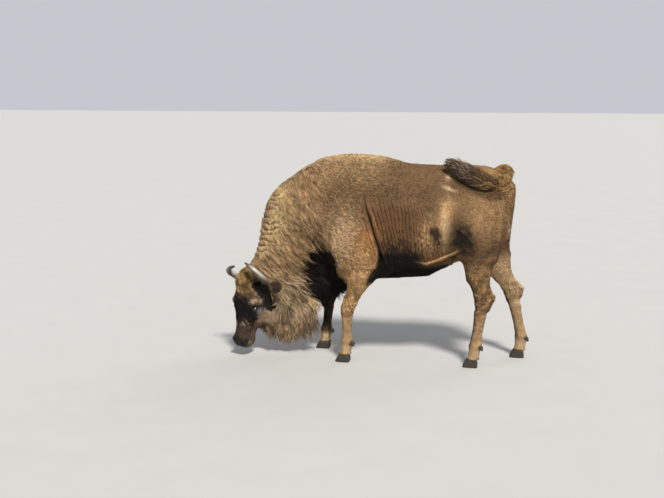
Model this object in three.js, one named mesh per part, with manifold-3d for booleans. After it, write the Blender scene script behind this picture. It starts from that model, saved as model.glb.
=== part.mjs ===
// A wisent (European bison) cow, life size, grazing in a slow walk with her head lowered and turned
// to her left. Millimetres, +Z up; she faces -X, so her left side is -Y. The floor is z = 0.
//
// The body is one smooth distance field, blended from tapered limbs and ellipsoids that follow the
// bones and muscles. Each named part is a region of that field, meshed at its own cell size and
// trimmed by planes, so that neighbours meet across a thin gap.
import * as THREE from "three";
import { mergeVertices } from "three/addons/utils/BufferGeometryUtils.js";
import Module from "manifold-3d";

const wasm = await Module();
wasm.setup();

// ---------------------------------------------------------------- driving sizes
const GAP = 0.4; // between neighbouring parts
const HUMP_HEIGHT = 1598; // withers above the floor in this stance
const CROUP_HEIGHT = 1522;
const BELLY_HEIGHT = 640;
const RUMP_X = 1068; // rear end of the trunk; x = 0 is under the hump
const BARREL_HALF = 285; // half width of the rib cage
const HEAD_YAW = 60; // degrees, from straight ahead to her left
const HEAD_PITCH = 12; // degrees, muzzle ahead of the poll
const EYE_MID = [-974, -120, 382]; // between the eyeballs
const EYE_RADIUS = 19;
const EYE_SIDE = 104; // eyeball centre to the midline
const CORONET = 60; // top of the hooves
const SHANK_TOP = { fore: 352, hind: 440 }; // height where each lower leg begins

// ---------------------------------------------------------------- vectors and fields
const add = (a, b) => [a[0] + b[0], a[1] + b[1], a[2] + b[2]];
const sub = (a, b) => [a[0] - b[0], a[1] - b[1], a[2] - b[2]];
const dot = (a, b) => a[0] * b[0] + a[1] * b[1] + a[2] * b[2];
const mul = (a, k) => [a[0] * k, a[1] * k, a[2] * k];
const length = (a) => Math.hypot(a[0], a[1], a[2]);
const unit = (a) => mul(a, 1 / length(a));
const mix = (a, b, t) => a + (b - a) * t;
const clamp = (x, low, high) => Math.min(high, Math.max(low, x));
const mixPoint = (a, b, t) => a.map((v, i) => mix(v, b[i], t));
const rad = (degrees) => (degrees * Math.PI) / 180;

// Distance to a tapered limb from a to b. flat = [direction, factor] thins it along a direction.
function limb(a, b, ra, rb, flat) {
  const ab = sub(b, a);
  const span = dot(ab, ab);
  const [side, factor] = flat ? [unit(flat[0]), flat[1]] : [null, 1];
  return (p) => {
    const ap = sub(p, a);
    const t = clamp(dot(ap, ab) / span, 0, 1);
    let away = sub(ap, mul(ab, t));
    if (side) away = add(away, mul(side, (factor - 1) * dot(away, side)));
    return (length(away) - mix(ra, rb, t)) / Math.sqrt(factor);
  };
}

// Distance to an ellipsoid whose own axes are the turned X, Y and Z.
function ellipsoid(centre, radii, turn = [0, 0, 0]) {
  const m = new THREE.Matrix4().makeRotationFromEuler(
    new THREE.Euler(rad(turn[0]), rad(turn[1]), rad(turn[2])),
  ).elements;
  const axes = [0, 4, 8].map((i) => [m[i], m[i + 1], m[i + 2]]);
  return (p) => {
    const d = sub(p, centre);
    const q = axes.map((axis, i) => dot(d, axis) / radii[i]);
    const near = length(q);
    const slope = Math.hypot(q[0] / radii[0], q[1] / radii[1], q[2] / radii[2]);
    return slope < 1e-9 ? -Math.min(...radii) : (near * (near - 1)) / slope;
  };
}

// Smooth union of two distances over a blend width k.
function blend(a, b, k) {
  const h = Math.max(k - Math.abs(a - b), 0) / k;
  return Math.min(a, b) - (h * h * k) / 4;
}
const carve = (a, b, k) => -blend(-a, b, k);
const union = (k, ...fields) => (p) => fields.map((f) => f(p)).reduce((a, b) => blend(a, b, k));

// A smooth curve through rows [key, v1, v2, ...], read at any key.
function profile(rows) {
  return (key) => {
    const last = rows.length - 1;
    if (key <= rows[0][0]) return rows[0].slice(1);
    if (key >= rows[last][0]) return rows[last].slice(1);
    const i = rows.findIndex((r, n) => n < last && key < rows[n + 1][0]);
    const [before, from, to, after] = [i - 1, i, i + 1, i + 2].map((n) => rows[clamp(n, 0, last)]);
    const step = to[0] - from[0];
    const t = (key - from[0]) / step;
    return from.slice(1).map((v, n) => {
      const m0 = ((to[n + 1] - before[n + 1]) / (to[0] - before[0])) * step;
      const m1 = ((after[n + 1] - v) / (after[0] - from[0])) * step;
      const [t2, t3] = [t * t, t * t * t];
      const ends = (2 * t3 - 3 * t2 + 1) * v + (3 * t2 - 2 * t3) * to[n + 1];
      return ends + (t3 - 2 * t2 + t) * m0 + (t3 - t2) * m1;
    });
  };
}

// ---------------------------------------------------------------- trunk
// Stations from brisket to rump: x, top, bottom, half width, and how much the top narrows.
const trunkStations = profile([
  [-540, 1440, 720, 150, 0.4],
  [-410, 1502, 680, 205, 0.44],
  [-300, 1540, 650, 240, 0.46],
  [-180, 1570, 625, 266, 0.48],
  [0, HUMP_HEIGHT - 6, 622, BARREL_HALF - 4, 0.48],
  [110, 1584, 628, BARREL_HALF + 4, 0.44],
  [220, 1546, 634, BARREL_HALF + 8, 0.38],
  [330, 1530, BELLY_HEIGHT, BARREL_HALF + 6, 0.34],
  [470, 1526, 662, BARREL_HALF - 12, 0.32],
  [620, 1524, 745, 246, 0.3],
  [760, CROUP_HEIGHT, 840, 228, 0.32],
  [900, CROUP_HEIGHT - 2, 900, 206, 0.36],
  [1000, CROUP_HEIGHT - 34, 900, 186, 0.38],
  [1090, 1430, 900, 160, 0.4],
]);

// Rear outline: how far back the rump reaches at each height.
const rumpOutline = profile([
  [600, 960],
  [800, 985],
  [1000, RUMP_X - 58],
  [1150, RUMP_X - 26],
  [1320, RUMP_X - 6],
  [1420, RUMP_X - 30],
  [1500, RUMP_X - 90],
]);

function trunkField(p) {
  const [top, bottom, half, narrow] = trunkStations(p[0]);
  const middle = mix(bottom, top, 0.44);
  const reach = p[2] > middle ? top - middle : middle - bottom;
  const t = (p[2] - middle) / reach;
  const width = half * (1 - Math.min(1, t * t) * (t > 0 ? narrow * 0.75 : 0.1));
  const sides = Math.pow(Math.pow(Math.abs(p[1]) / width, 2.35) + Math.pow(Math.abs(t), 2.35), 1 / 2.35);
  const around = (sides - 1) * Math.min(half, reach) * 0.92;
  const rear = p[0] - rumpOutline(p[2])[0];
  const front = -560 - p[0];
  return carve(carve(around, -rear, 130), -front, 160);
}

// ---------------------------------------------------------------- muscle masses on both sides
const bothSides = (make) => [-1, 1].map(make);
const trunkMasses = bothSides((s) => [
  ellipsoid([-190, s * 165, 1075], [150, 88, 330], [s * 8, 22, 0]), // shoulder blade
  ellipsoid([-165, s * 205, 860], [165, 84, 150], [0, 10, 0]), // upper arm
  limb([598, s * 158, 1395], [668, s * 178, 1345], 38, 34), // hook bone
  ellipsoid([850, s * 118, 1180], [250, 112, 300], [s * 4, -12, 0]), // thigh
  limb([1000, s * 95, 1400], [1030, s * 92, 1330], 62, 58), // pin bone
]);
const flankHollows = bothSides((s) => ellipsoid([520, s * 312, 1290], [120, 62, 95], [0, 20, 0]));

// ---------------------------------------------------------------- neck and mane
const neckField = union(
  120,
  limb([-250, 0, 1120], [-480, -8, 1040], 412, 362, [[0, 1, 0], 1.78]),
  limb([-470, -8, 1040], [-610, -22, 820], 360, 252, [[0, 1, 0], 1.68]),
  limb([-610, -18, 820], [-770, -28, 600], 240, 160, [[0, 1, 0], 1.5]),
  limb([-690, -30, 760], [-866, -66, 640], 140, 92, [[0, 1, 0], 1.12]), // nape
);
const chestHollows = bothSides((s) => ellipsoid([-372, s * 232, 720], [82, 92, 190], [s * -6, 10, 0]));

// The throat mane hangs from the jaw back to the brisket.
const maneField = union(
  80,
  limb([-540, -24, 760], [-482, -22, 318], 122, 62, [[0, 1, 0], 1.4]),
  limb([-640, -26, 620], [-606, -30, 272], 142, 80, [[0, 1, 0], 1.4]),
  limb([-760, -38, 500], [-734, -44, 246], 112, 68, [[0, 1, 0], 1.2]),
  limb([-866, -34, 400], [-862, -42, 262], 74, 46), // beard
);
const brisketField = union(
  80,
  limb([-430, 0, 800], [-400, 0, 620], 150, 100, [[0, 1, 0], 1.3]),
  limb([-260, 0, 700], [-250, 0, 640], 120, 90, [[0, 1, 0], 1.1]),
);

// ---------------------------------------------------------------- head, in its own frame
// side = to her left, face = out of the forehead, crown = from muzzle to poll.
const ahead = [-Math.cos(rad(HEAD_YAW)), -Math.sin(rad(HEAD_YAW)), 0];
const side = [-ahead[1], ahead[0], 0];
const face = add(mul(ahead, Math.cos(rad(HEAD_PITCH))), [0, 0, Math.sin(rad(HEAD_PITCH))]);
const crown = add(mul(ahead, -Math.sin(rad(HEAD_PITCH))), [0, 0, Math.cos(rad(HEAD_PITCH))]);
const toHead = (p) => {
  const d = sub(p, EYE_MID);
  return [dot(d, side), dot(d, face), dot(d, crown)];
};
const fromHead = (q) => add(EYE_MID, add(mul(side, q[0]), add(mul(face, q[1]), mul(crown, q[2]))));

const skullField = union(
  60,
  ellipsoid([0, -22, 92], [134, 98, 165]), // brain case and forehead
  ellipsoid([0, 20, 236], [114, 82, 98]), // crown of hair between the horns
  limb([0, -16, 30], [0, -14, -200], 98, 66, [[1, 0, 0], 1.12]), // face
  limb([0, -112, 40], [0, -80, -235], 88, 42, [[1, 0, 0], 1.12]), // lower jaw
);
const cheekField = union(
  40,
  ...bothSides((s) => ellipsoid([s * 66, -92, 16], [56, 80, 98], [12, 0, 0])), // jaw muscle
  ...bothSides((s) => ellipsoid([s * 102, 6, 36], [34, 32, 28])), // brow
  ...bothSides((s) => limb([s * 94, -14, -28], [s * 50, -10, -155], 24, 17)), // cheek bone
);
const muzzleField = union(
  34,
  ellipsoid([0, -8, -246], [68, 54, 66]), // nose
  ...bothSides((s) => ellipsoid([s * 40, 4, -272], [28, 33, 34])), // nostril wing
  ellipsoid([0, -50, -276], [60, 36, 44]), // upper lip
  ellipsoid([0, -84, -254], [46, 34, 46]), // chin
);
const headField = (p) => {
  const q = toHead(p);
  const lids = bothSides((s) => length(sub(q, [s * (EYE_SIDE - 7), 1, 0])) - 28);
  let d = blend(skullField(q), cheekField(q), 42);
  d = blend(d, muzzleField(q), 46);
  return blend(d, Math.min(...lids), 16);
};

// ---------------------------------------------------------------- legs
// Each leg: joints from the trunk down, in the body's own frame. s is -1 on her left, 1 on her right.
const legs = {
  fore_left: {
    s: -1,
    elbow: [10, -205, 800], carpus: [-158, -192, 405], fetlock: [-158, -186, 160], toe: [-176, -186, 0],
  },
  fore_right: {
    s: 1,
    elbow: [-150, 205, 800], carpus: [-360, 192, 420], fetlock: [-384, 186, 162], toe: [-398, 186, 0],
  },
  hind_left: {
    s: -1,
    ham: [892, -176, 900], stifle: [762, -196, 880], hock: [868, -178, 512],
    fetlock: [822, -172, 168], toe: [800, -172, 0],
  },
  hind_right: {
    s: 1,
    ham: [980, 176, 910], stifle: [800, 196, 890], hock: [1084, 178, 520],
    fetlock: [1166, 172, 168], toe: [1150, 172, 0],
  },
};

function foreLegField(leg) {
  const { s, elbow, carpus, fetlock } = leg;
  const arm = (t) => mixPoint(elbow, carpus, t);
  const wide = [[0, 1, 0], 1.25];
  return union(
    46,
    limb(add(elbow, [-110, s * -10, 90]), arm(0.28), 150, 96, [[0, 1, 0], 1.55]), // upper forearm
    limb(add(elbow, [20, 0, 0]), add(elbow, [8, 0, -90]), 58, 46, wide), // point of the elbow
    limb(arm(0.2), arm(0.92), 98, 58, wide), // forearm
    ellipsoid(carpus, [60, 54, 66]),
    limb(carpus, fetlock, 48, 41, [[0, 1, 0], 1.1]), // cannon
  );
}

function hindLegField(leg) {
  const { s, ham, stifle, hock, fetlock } = leg;
  const shin = (t) => mixPoint(stifle, hock, t);
  const heel = add(hock, [68, 0, 30]);
  return union(
    46,
    ellipsoid(add(stifle, [70, s * -8, 70]), [150, 84, 190], [0, -14, 0]), // lower thigh
    limb(add(stifle, [10, 0, 0]), shin(0.5), 92, 68, [[0, 1, 0], 1.35]), // stifle and gaskin
    limb(add(ham, [26, s * -30, 190]), add(ham, [32, 0, 20]), 94, 92, [[0, 1, 0], 1.1]), // back of the thigh
    limb(ham, mixPoint(shin(0.55), heel, 0.5), 84, 44, [[0, 1, 0], 1.3]),
    limb(shin(0.45), shin(0.95), 68, 54, [[0, 1, 0], 1.3]),
    limb(shin(0.5), heel, 46, 30, [[0, 1, 0], 1.15]), // heel cord
    limb(heel, add(hock, [18, 0, -60]), 34, 44, [[0, 1, 0], 1.1]), // point of the hock
    ellipsoid(add(hock, [6, 0, -6]), [62, 48, 70]),
    limb(hock, fetlock, 50, 42, [[0, 1, 0], 1.12]), // cannon
  );
}
const legFieldOf = { fore: foreLegField, hind: hindLegField };
const legFields = Object.fromEntries(
  Object.entries(legs).map(([name, leg]) => [name, legFieldOf[name.split("_")[0]](leg)]),
);

// ---------------------------------------------------------------- the whole body
function bodyField(p) {
  let d = trunkField(p);
  for (const masses of trunkMasses) for (const mass of masses) d = blend(d, mass(p), 90);
  for (const hollow of flankHollows) d = carve(d, hollow(p), 80);
  d = blend(d, neckField(p), 130);
  d = blend(d, brisketField(p), 110);
  for (const hollow of chestHollows) d = carve(d, hollow(p), 120);
  for (const name in legFields) d = blend(d, legFields[name](p), 70);
  d = blend(d, maneField(p), 60);
  return blend(d, headField(p), 60);
}

// ---------------------------------------------------------------- meshing
// A grid cell's corners are numbered by their x, y and z bits; an edge runs from a corner along an axis.
const corners = [0, 1, 2, 3, 4, 5, 6, 7];
const cellCorners = corners.map((n) => [n & 1, (n >> 1) & 1, n >> 2]);
const cellEdges = [0, 1, 2].flatMap((axis) =>
  corners.filter((n) => !(n & (1 << axis))).map((n) => ({ from: n, to: n | (1 << axis), axis })));
const edgeFrom = (n, axis) => cellEdges.findIndex((e) => e.from === n && e.axis === axis);
const edgeBetween = (a, b) =>
  cellEdges.findIndex((e) => e.from === Math.min(a, b) && e.to === Math.max(a, b));
const cellFaces = [0, 1, 2].flatMap((axis) => {
  const [u, w] = [1 << ((axis + 1) % 3), 1 << ((axis + 2) % 3)];
  return [0, 1 << axis].map((n) => [n, n | u, n | u | w, n | w]);
});

// The patches of surface in a cell: sets of crossed edges, joined across each of its faces. Where a
// face is crossed four times, the edges at each inside corner belong together.
function cellPatches(inside) {
  const patch = cellEdges.map((e, i) => (inside[e.from] === inside[e.to] ? -1 : i));
  const join = (a, b) => {
    const [keep, drop] = [patch[a], patch[b]];
    patch.forEach((v, i) => (patch[i] = v === drop ? keep : v));
  };
  for (const ring of cellFaces) {
    const edges = ring.map((n, i) => edgeBetween(n, ring[(i + 1) % 4]));
    const crossed = edges.filter((e) => patch[e] >= 0);
    if (crossed.length === 2) join(...crossed);
    if (crossed.length === 4) ring.forEach((n, i) => inside[n] && join(edges[(i + 3) % 4], edges[i]));
  }
  return patch;
}

// Surface nets: one vertex for each patch of surface in a cell, at the mean of its edge crossings.
function netGeometry(field, low, high, cell) {
  const count = low.map((v, i) => Math.ceil((high[i] - v) / cell[i]) + 1);
  const [nx, ny, nz] = count;
  const at = (i, j, k) => (k * ny + j) * nx + i;
  const point = (i, j, k) => [low[0] + i * cell[0], low[1] + j * cell[1], low[2] + k * cell[2]];
  const value = new Float64Array(nx * ny * nz);
  for (let k = 0; k < nz; k++)
    for (let j = 0; j < ny; j++)
      for (let i = 0; i < nx; i++) {
        const edge = i === 0 || j === 0 || k === 0 || i === nx - 1 || j === ny - 1 || k === nz - 1;
        value[at(i, j, k)] = edge ? 1 : field(point(i, j, k)) || 1e-6;
      }
  const vertexOf = new Int32Array(nx * ny * nz * 12).fill(-1);
  const positions = [];
  for (let k = 0; k < nz - 1; k++)
    for (let j = 0; j < ny - 1; j++)
      for (let i = 0; i < nx - 1; i++) {
        const v = cellCorners.map((c) => value[at(i + c[0], j + c[1], k + c[2])]);
        const inside = v.map((x) => x < 0);
        if (inside.every((x) => x === inside[0])) continue;
        const patch = cellPatches(inside);
        for (const id of new Set(patch.filter((x) => x >= 0))) {
          const crossings = cellEdges.filter((_, e) => patch[e] === id).map(({ from, to }) => {
            const t = v[from] / (v[from] - v[to]);
            return cellCorners[from].map((c, n) => mix(c, cellCorners[to][n], t));
          });
          patch.forEach((x, e) => x === id && (vertexOf[at(i, j, k) * 12 + e] = positions.length / 3));
          const middle = mul(crossings.reduce(add), 1 / crossings.length);
          positions.push(...point(i, j, k).map((c, n) => c + middle[n] * cell[n]));
        }
      }
  const index = [];
  const step = [[1, 0, 0], [0, 1, 0], [0, 0, 1]];
  for (let k = 0; k < nz - 1; k++)
    for (let j = 0; j < ny - 1; j++)
      for (let i = 0; i < nx - 1; i++)
        for (let axis = 0; axis < 3; axis++) {
          const [ua, wa] = [(axis + 1) % 3, (axis + 2) % 3];
          const here = value[at(i, j, k)] < 0;
          const next = value[at(i + step[axis][0], j + step[axis][1], k + step[axis][2])] < 0;
          if (here === next) continue;
          const ring = [[1, 1], [0, 1], [0, 0], [1, 0]].map(([a, b]) => {
            const c = [i, j, k].map((n, m) => n - a * step[ua][m] - b * step[wa][m]);
            return vertexOf[at(...c) * 12 + edgeFrom((a << ua) | (b << wa), axis)];
          });
          const [q0, q1, q2, q3] = here ? ring : ring.slice().reverse();
          index.push(q0, q1, q2, q0, q2, q3);
        }
  const geometry = new THREE.BufferGeometry();
  geometry.setAttribute("position", new THREE.Float32BufferAttribute(positions, 3));
  geometry.setIndex(index);
  return geometry;
}

// ---------------------------------------------------------------- solids
function solidOf(geometry) {
  const bare = new THREE.BufferGeometry();
  bare.setAttribute("position", geometry.getAttribute("position"));
  if (geometry.index) bare.setIndex(geometry.index);
  const merged = mergeVertices(bare, 1e-3);
  return new wasm.Manifold(
    new wasm.Mesh({
      numProp: 3,
      vertProperties: new Float32Array(merged.getAttribute("position").array),
      triVerts: new Uint32Array(merged.index.array),
    }),
  );
}

function geometryOf(solid) {
  const mesh = solid.getMesh();
  const geometry = new THREE.BufferGeometry();
  const xyz = new Float32Array(mesh.numVert * 3);
  for (let i = 0; i < mesh.numVert; i++)
    xyz.set(mesh.vertProperties.subarray(i * mesh.numProp, i * mesh.numProp + 3), i * 3);
  geometry.setAttribute("position", new THREE.BufferAttribute(xyz, 3));
  geometry.setIndex(new THREE.BufferAttribute(new Uint32Array(mesh.triVerts), 1));
  return geometry;
}

// Everything on the side of a plane that its normal points to, as one big block.
function halfSpace({ at, normal }, offset = 0) {
  const size = 4000;
  const block = new THREE.BoxGeometry(size, size, size).translate(0, size / 2 + offset, 0);
  block.applyQuaternion(
    new THREE.Quaternion().setFromUnitVectors(THREE.Object3D.DEFAULT_UP, new THREE.Vector3(...unit(normal))),
  );
  return solidOf(block.translate(...at));
}
const behind = (solid, plane) => solid.subtract(halfSpace(plane, -GAP / 2));
const beyond = (solid, plane) => solid.intersect(halfSpace(plane, GAP / 2));
const largest = (solid) => solid.decompose().sort((a, b) => b.volume() - a.volume())[0];

// A block from low to high, with every face moved out by grow.
function blockOf({ low, high }, grow) {
  const block = new THREE.BoxGeometry(...low.map((v, i) => high[i] - v + 2 * grow));
  return solidOf(block.translate(...low.map((v, i) => (v + high[i]) / 2)));
}

const without = (solid, ...geometries) => geometries.reduce((rest, g) => rest.subtract(solidOf(g)), solid);

// A closed surface through rings of points, each ring the same length, with fanned ends.
function loft(rings) {
  const n = rings[0].length;
  const ends = [rings[0], rings[rings.length - 1]].map((ring) => mul(ring.reduce(add), 1 / n));
  const positions = [...rings.flat(), ...ends].flat();
  const index = [];
  for (let r = 0; r + 1 < rings.length; r++)
    for (let i = 0; i < n; i++) {
      const [a, b] = [r * n + i, r * n + ((i + 1) % n)];
      index.push(a, b, b + n, a, b + n, a + n);
    }
  const [first, last] = [rings.length * n, rings.length * n + 1];
  for (let i = 0; i < n; i++) {
    const base = (rings.length - 1) * n;
    index.push(first, (i + 1) % n, i, last, base + i, base + ((i + 1) % n));
  }
  const geometry = new THREE.BufferGeometry();
  geometry.setAttribute("position", new THREE.Float32BufferAttribute(positions, 3));
  geometry.setIndex(index);
  return geometry;
}

// Rings round a smooth path. radii(t) gives the half sizes across and along `up`; grow adds to both
// and to each end.
const endShift = (k, steps, grow) => (k === 0 ? -grow : k === steps ? grow : 0);
function sweep(path, radii, { steps, sides, up, from = 0, to = 1, grow = 0 }) {
  const curve = new THREE.CatmullRomCurve3(path.map((p) => new THREE.Vector3(...p)), false, "centripetal");
  return loft(
    Array.from({ length: steps + 1 }, (_, k) => {
      const t = mix(from, to, k / steps);
      const along = curve.getTangentAt(t);
      const centre = add(curve.getPointAt(t).toArray(), mul(along.toArray(), endShift(k, steps, grow)));
      const across = new THREE.Vector3(...up).cross(along).normalize();
      const over = along.clone().cross(across).toArray();
      const [a, b] = radii(t).map((r) => r + grow);
      return Array.from({ length: sides }, (_, i) => {
        const turn = (2 * Math.PI * i) / sides;
        return add(centre, add(mul(across.toArray(), a * Math.cos(turn)), mul(over, b * Math.sin(turn))));
      });
    }),
  );
}

// ---------------------------------------------------------------- colours
const finish = (color, roughness = 0.85, metalness = 0) =>
  new THREE.MeshStandardMaterial({ color, roughness, metalness });
const coat = {
  body: finish(0x7d5f41),
  neck: finish(0x76593d),
  head: finish(0x4a3626),
  leg: finish(0x80603f),
  mane: finish(0x6b523b),
  tail: finish(0x8a6036),
  tuft: finish(0x4b3c30),
  ear: finish(0x2e221a),
};
const muzzleSkin = finish(0x4d3b36, 0.6);
const wetEye = finish(0x1a110c, 0.12);
const hornSheath = finish(0x7d7a72, 0.45);
const hoofHorn = finish(0x241f1b, 0.55);

const wisent = new THREE.Group();
function place(name, solid, material) {
  const mesh = new THREE.Mesh(geometryOf(largest(solid)), material);
  mesh.name = name;
  wisent.add(mesh);
}

// ---------------------------------------------------------------- where the parts divide
// Planes: each normal points away from the trunk. Blocks: the space of each upper leg.
const neckPlane = { at: [-330, 0, 1000], normal: [-1, 0, -0.12] };
const nape = { at: fromHead([0, -60, 165]), normal: [-0.5, -0.35, -0.8] };
const throat = { at: fromHead([0, -158, 0]), normal: face };
const maneLine = { at: [-640, 0, 540], normal: [-0.12, 0, -1] };
const noseLine = { at: fromHead([0, 0, -158]), normal: mul(crown, -1) };
const mouthLine = { at: fromHead([0, -58, -200]), normal: add(mul(face, -1), mul(crown, 0.12)) };
const beside = (s, inner, [front, back], top) => {
  const [right, left] = [s * inner, s * 420].sort((a, b) => a - b);
  return { low: [front, right, -20], high: [back, left, top] };
};
const legSpace = {
  fore: (s) => beside(s, 108, [-440, 116], 690),
  hind: (s) => beside(s, 30, [640, 1400], 850),
};

// ---------------------------------------------------------------- eyes, horns, ears
const eyeball = (s, grow = 0) =>
  new THREE.SphereGeometry(EYE_RADIUS + grow, 8, 6).translate(...fromHead([s * EYE_SIDE, 2, 0]));
// The opening between the lids: a flat spindle that looks out and a little forward.
function lidOpening(s) {
  const look = unit([s, 0.3, 0.05]);
  const path = [6, 30, 60].map((reach) => fromHead(add([s * EYE_SIDE, 2, 0], mul(look, reach))));
  return sweep(path, () => [17, 10], { steps: 2, sides: 8, up: crown });
}

// Horns leave the crown sideways, sweep forward and up, and bend in at the tips. The right one
// closes in a little further.
function horn(s, grow = 0) {
  const droop = s < 0 ? 1 : 0;
  const path = [
    [106, -30, 182], [139, -26, 214], [163, 16, 238], [168, 64, 264 - droop * 8],
    [132, 108, 306 - droop * 22], [52, 134, 350 - droop * 40],
  ];
  return sweep(path.map((q) => fromHead([s * q[0], q[1], q[2]])), (t) => {
    const r = 5 + 25 * Math.pow(1 - t, 0.55);
    return [r, r * 1.12];
  }, { steps: 9, sides: 8, up: face, grow });
}

// An ear is a leaf, cupped forward: its width follows a sine, and its middle is hollowed. The left
// one is turned out to the side, the right one lies back.
function ear(s, grow = 0) {
  const root = fromHead(s > 0 ? [156, -62, 168] : [-118, -74, 150]);
  const tip = fromHead(s > 0 ? [334, -6, 212] : [-214, -200, 176]);
  const along = unit(sub(tip, root));
  const across = unit([0, 0, 1].map((v, i) => v - along[i] * along[2]));
  const out = new THREE.Vector3(...along).cross(new THREE.Vector3(...across)).multiplyScalar(-s).toArray();
  const [steps, points] = [6, 8];
  return loft(
    Array.from({ length: steps + 1 }, (_, k) => {
      const t = k / steps;
      const centre = add(root, mul(along, length(sub(tip, root)) * t + endShift(k, steps, grow)));
      const half = 3 + 41 * Math.pow(Math.sin(Math.PI * mix(0.17, 0.97, t)), 0.85) + grow;
      return Array.from({ length: points }, (_, i) => {
        const turn = (-s * 2 * Math.PI * (i + 0.5)) / points;
        const cup = 13 * Math.sin(Math.PI * t) * Math.pow(Math.sin(turn), 2);
        const depth = (mix(13, 3, t) + grow) * Math.sin(turn) - cup;
        return add(centre, add(mul(across, half * Math.cos(turn)), mul(out, depth)));
      });
    }),
  );
}

// ---------------------------------------------------------------- tail, thrown over the croup
const tailPath = [
  [930, -6, 1464], [990, -20, 1490], [1034, -62, 1482], [1040, -118, 1444], [1000, -172, 1406],
  [920, -204, 1402], [830, -206, 1430], [720, -186, 1478], [640, -158, 1518], [560, -122, 1550],
];
const TUFT_START = 0.44; // share of the tail's length
const tail = (grow = 0) =>
  sweep(tailPath, (t) => {
    const thin = Math.min(1, t / 0.4);
    return [mix(40, 20, thin), mix(40, 22, thin)];
  }, { steps: 10, sides: 8, up: [0, 0, 1], to: TUFT_START - 0.0004, grow });
const tuft = (grow = 0) =>
  sweep(tailPath, (t) => {
    const w = clamp((t - TUFT_START) / (1 - TUFT_START), 0, 1);
    const full = Math.pow(Math.sin(Math.PI * mix(0.16, 0.985, Math.pow(w, 0.8))), 0.8);
    return [16 + 34 * full, 14 + 64 * full];
  }, { steps: 8, sides: 9, up: [0, 0, 1], from: TUFT_START, grow });

// ---------------------------------------------------------------- lower legs and hooves
// Rings down a lower leg: height, half length, half width. The carpus or hock is above the first.
const shankRings = {
  fore: [
    [SHANK_TOP.fore, 50, 45], [300, 42, 40], [230, 39, 37], [195, 44, 41],
    [160, 52, 49], [122, 46, 47], [90, 44, 47], [CORONET, 51, 52],
  ],
  hind: [
    [SHANK_TOP.hind, 57, 47], [370, 48, 42], [280, 43, 39], [205, 46, 42],
    [166, 54, 49], [125, 47, 47], [92, 45, 47], [CORONET, 52, 52],
  ],
};
function lowerLeg(end, { carpus, hock, fetlock, toe }) {
  const upper = carpus || hock;
  return loft(
    shankRings[end].map(([z, long, wide], k) => {
      const [from, to] = z > fetlock[2] ? [upper, fetlock] : [fetlock, toe];
      const t = clamp((from[2] - z) / (from[2] - to[2]), 0, 1);
      const [x, y] = [0, 1].map((i) => mix(from[i], to[i], t));
      return Array.from({ length: 10 }, (_, i) => {
        const turn = (-2 * Math.PI * i) / 10;
        return [x + 3 + long * Math.cos(turn), y + wide * Math.sin(turn), k === 0 ? z - GAP : z];
      });
    }),
  );
}

// Each claw is rings of a pointed oval, sloping forward from the coronet to a flat sole.
function claw({ toe }, side) {
  const ring = (z, front, back, half) =>
    Array.from({ length: 8 }, (_, i) => {
      const turn = (-2 * Math.PI * i) / 8;
      const w = half * Math.sign(Math.sin(turn)) * Math.pow(Math.abs(Math.sin(turn)), 0.7);
      const x = mix(back, front, (1 - Math.cos(turn)) / 2);
      return [toe[0] + x, toe[1] + side * 26.5 + w * (1 - 0.16 * (1 - Math.cos(turn))), z];
    });
  return loft([ring(CORONET - GAP, -48, 48, 25), ring(28, -60, 46, 26.2), ring(0, -68, 44, 25.2)]);
}
function dewclaw({ fetlock }, side, grow = 0) {
  const path = [[34, -6], [47, -19], [58, -32]].map(([x, z]) => add(fetlock, [x, side * 27, z]));
  return sweep(path, (t) => [mix(15, 8, t), mix(17, 9, t)], { steps: 2, sides: 6, up: [0, 1, 0], grow });
}

// ---------------------------------------------------------------- flesh
const region = (low, high, cell) => solidOf(netGeometry(bodyField, low, high, cell));

for (const [which, leg] of Object.entries(legs)) {
  const [end, flank] = which.split("_");
  const space = legSpace[end](leg.s);
  const split = { at: [0, 0, SHANK_TOP[end]], normal: [0, 0, -1] };
  const [floor, roof] = [SHANK_TOP[end] - 60, 910];
  const upper = region([...space.low.slice(0, 2), floor], [...space.high.slice(0, 2), roof], [53, 44, 57]);
  place(`${end}leg_${flank}_upper`, behind(upper.intersect(blockOf(space, -GAP / 2)), split), coat.leg);
  const spurs = [-1, 1].map((side) => dewclaw(leg, side, GAP));
  place(`${end}leg_${flank}_lower`, without(solidOf(lowerLeg(end, leg)), ...spurs), coat.leg);
  for (const side of [-1, 1]) {
    const name = `${end}_${flank}_${side === leg.s ? "outer" : "inner"}`;
    place(`hoof_${name}`, solidOf(claw(leg, side)), hoofHorn);
    place(`dewclaw_${name}`, solidOf(dewclaw(leg, side)), hoofHorn);
  }
}

const barrel = behind(region([-480, -420, 480], [1240, 420, 1700], [92, 78, 88]), neckPlane);
const spaces = [-1, 1].flatMap((s) => [legSpace.fore(s), legSpace.hind(s)]);
const trunk = spaces.reduce((solid, space) => solid.subtract(blockOf(space, GAP / 2)), barrel);
place("trunk", without(trunk, tail(GAP), tuft(GAP)), coat.body);

const headSpace = halfSpace(nape, -GAP / 2).intersect(halfSpace(throat, -GAP / 2));
const front = [-1, 1].reduce(
  (solid, s) => solid.subtract(blockOf(legSpace.fore(s), GAP / 2)), // her right foreleg is under the neck
  beyond(region([-1180, -420, 180], [-250, 420, 1640], [80, 67, 80]), neckPlane).subtract(headSpace),
);
const gear = [-1, 1].flatMap((s) => [horn(s, GAP), ear(s, 2 * GAP)]);
place("neck", without(behind(front, maneLine), ...gear), coat.neck);
place("throat_mane", without(beyond(front, maneLine), ...gear), coat.mane);

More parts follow.
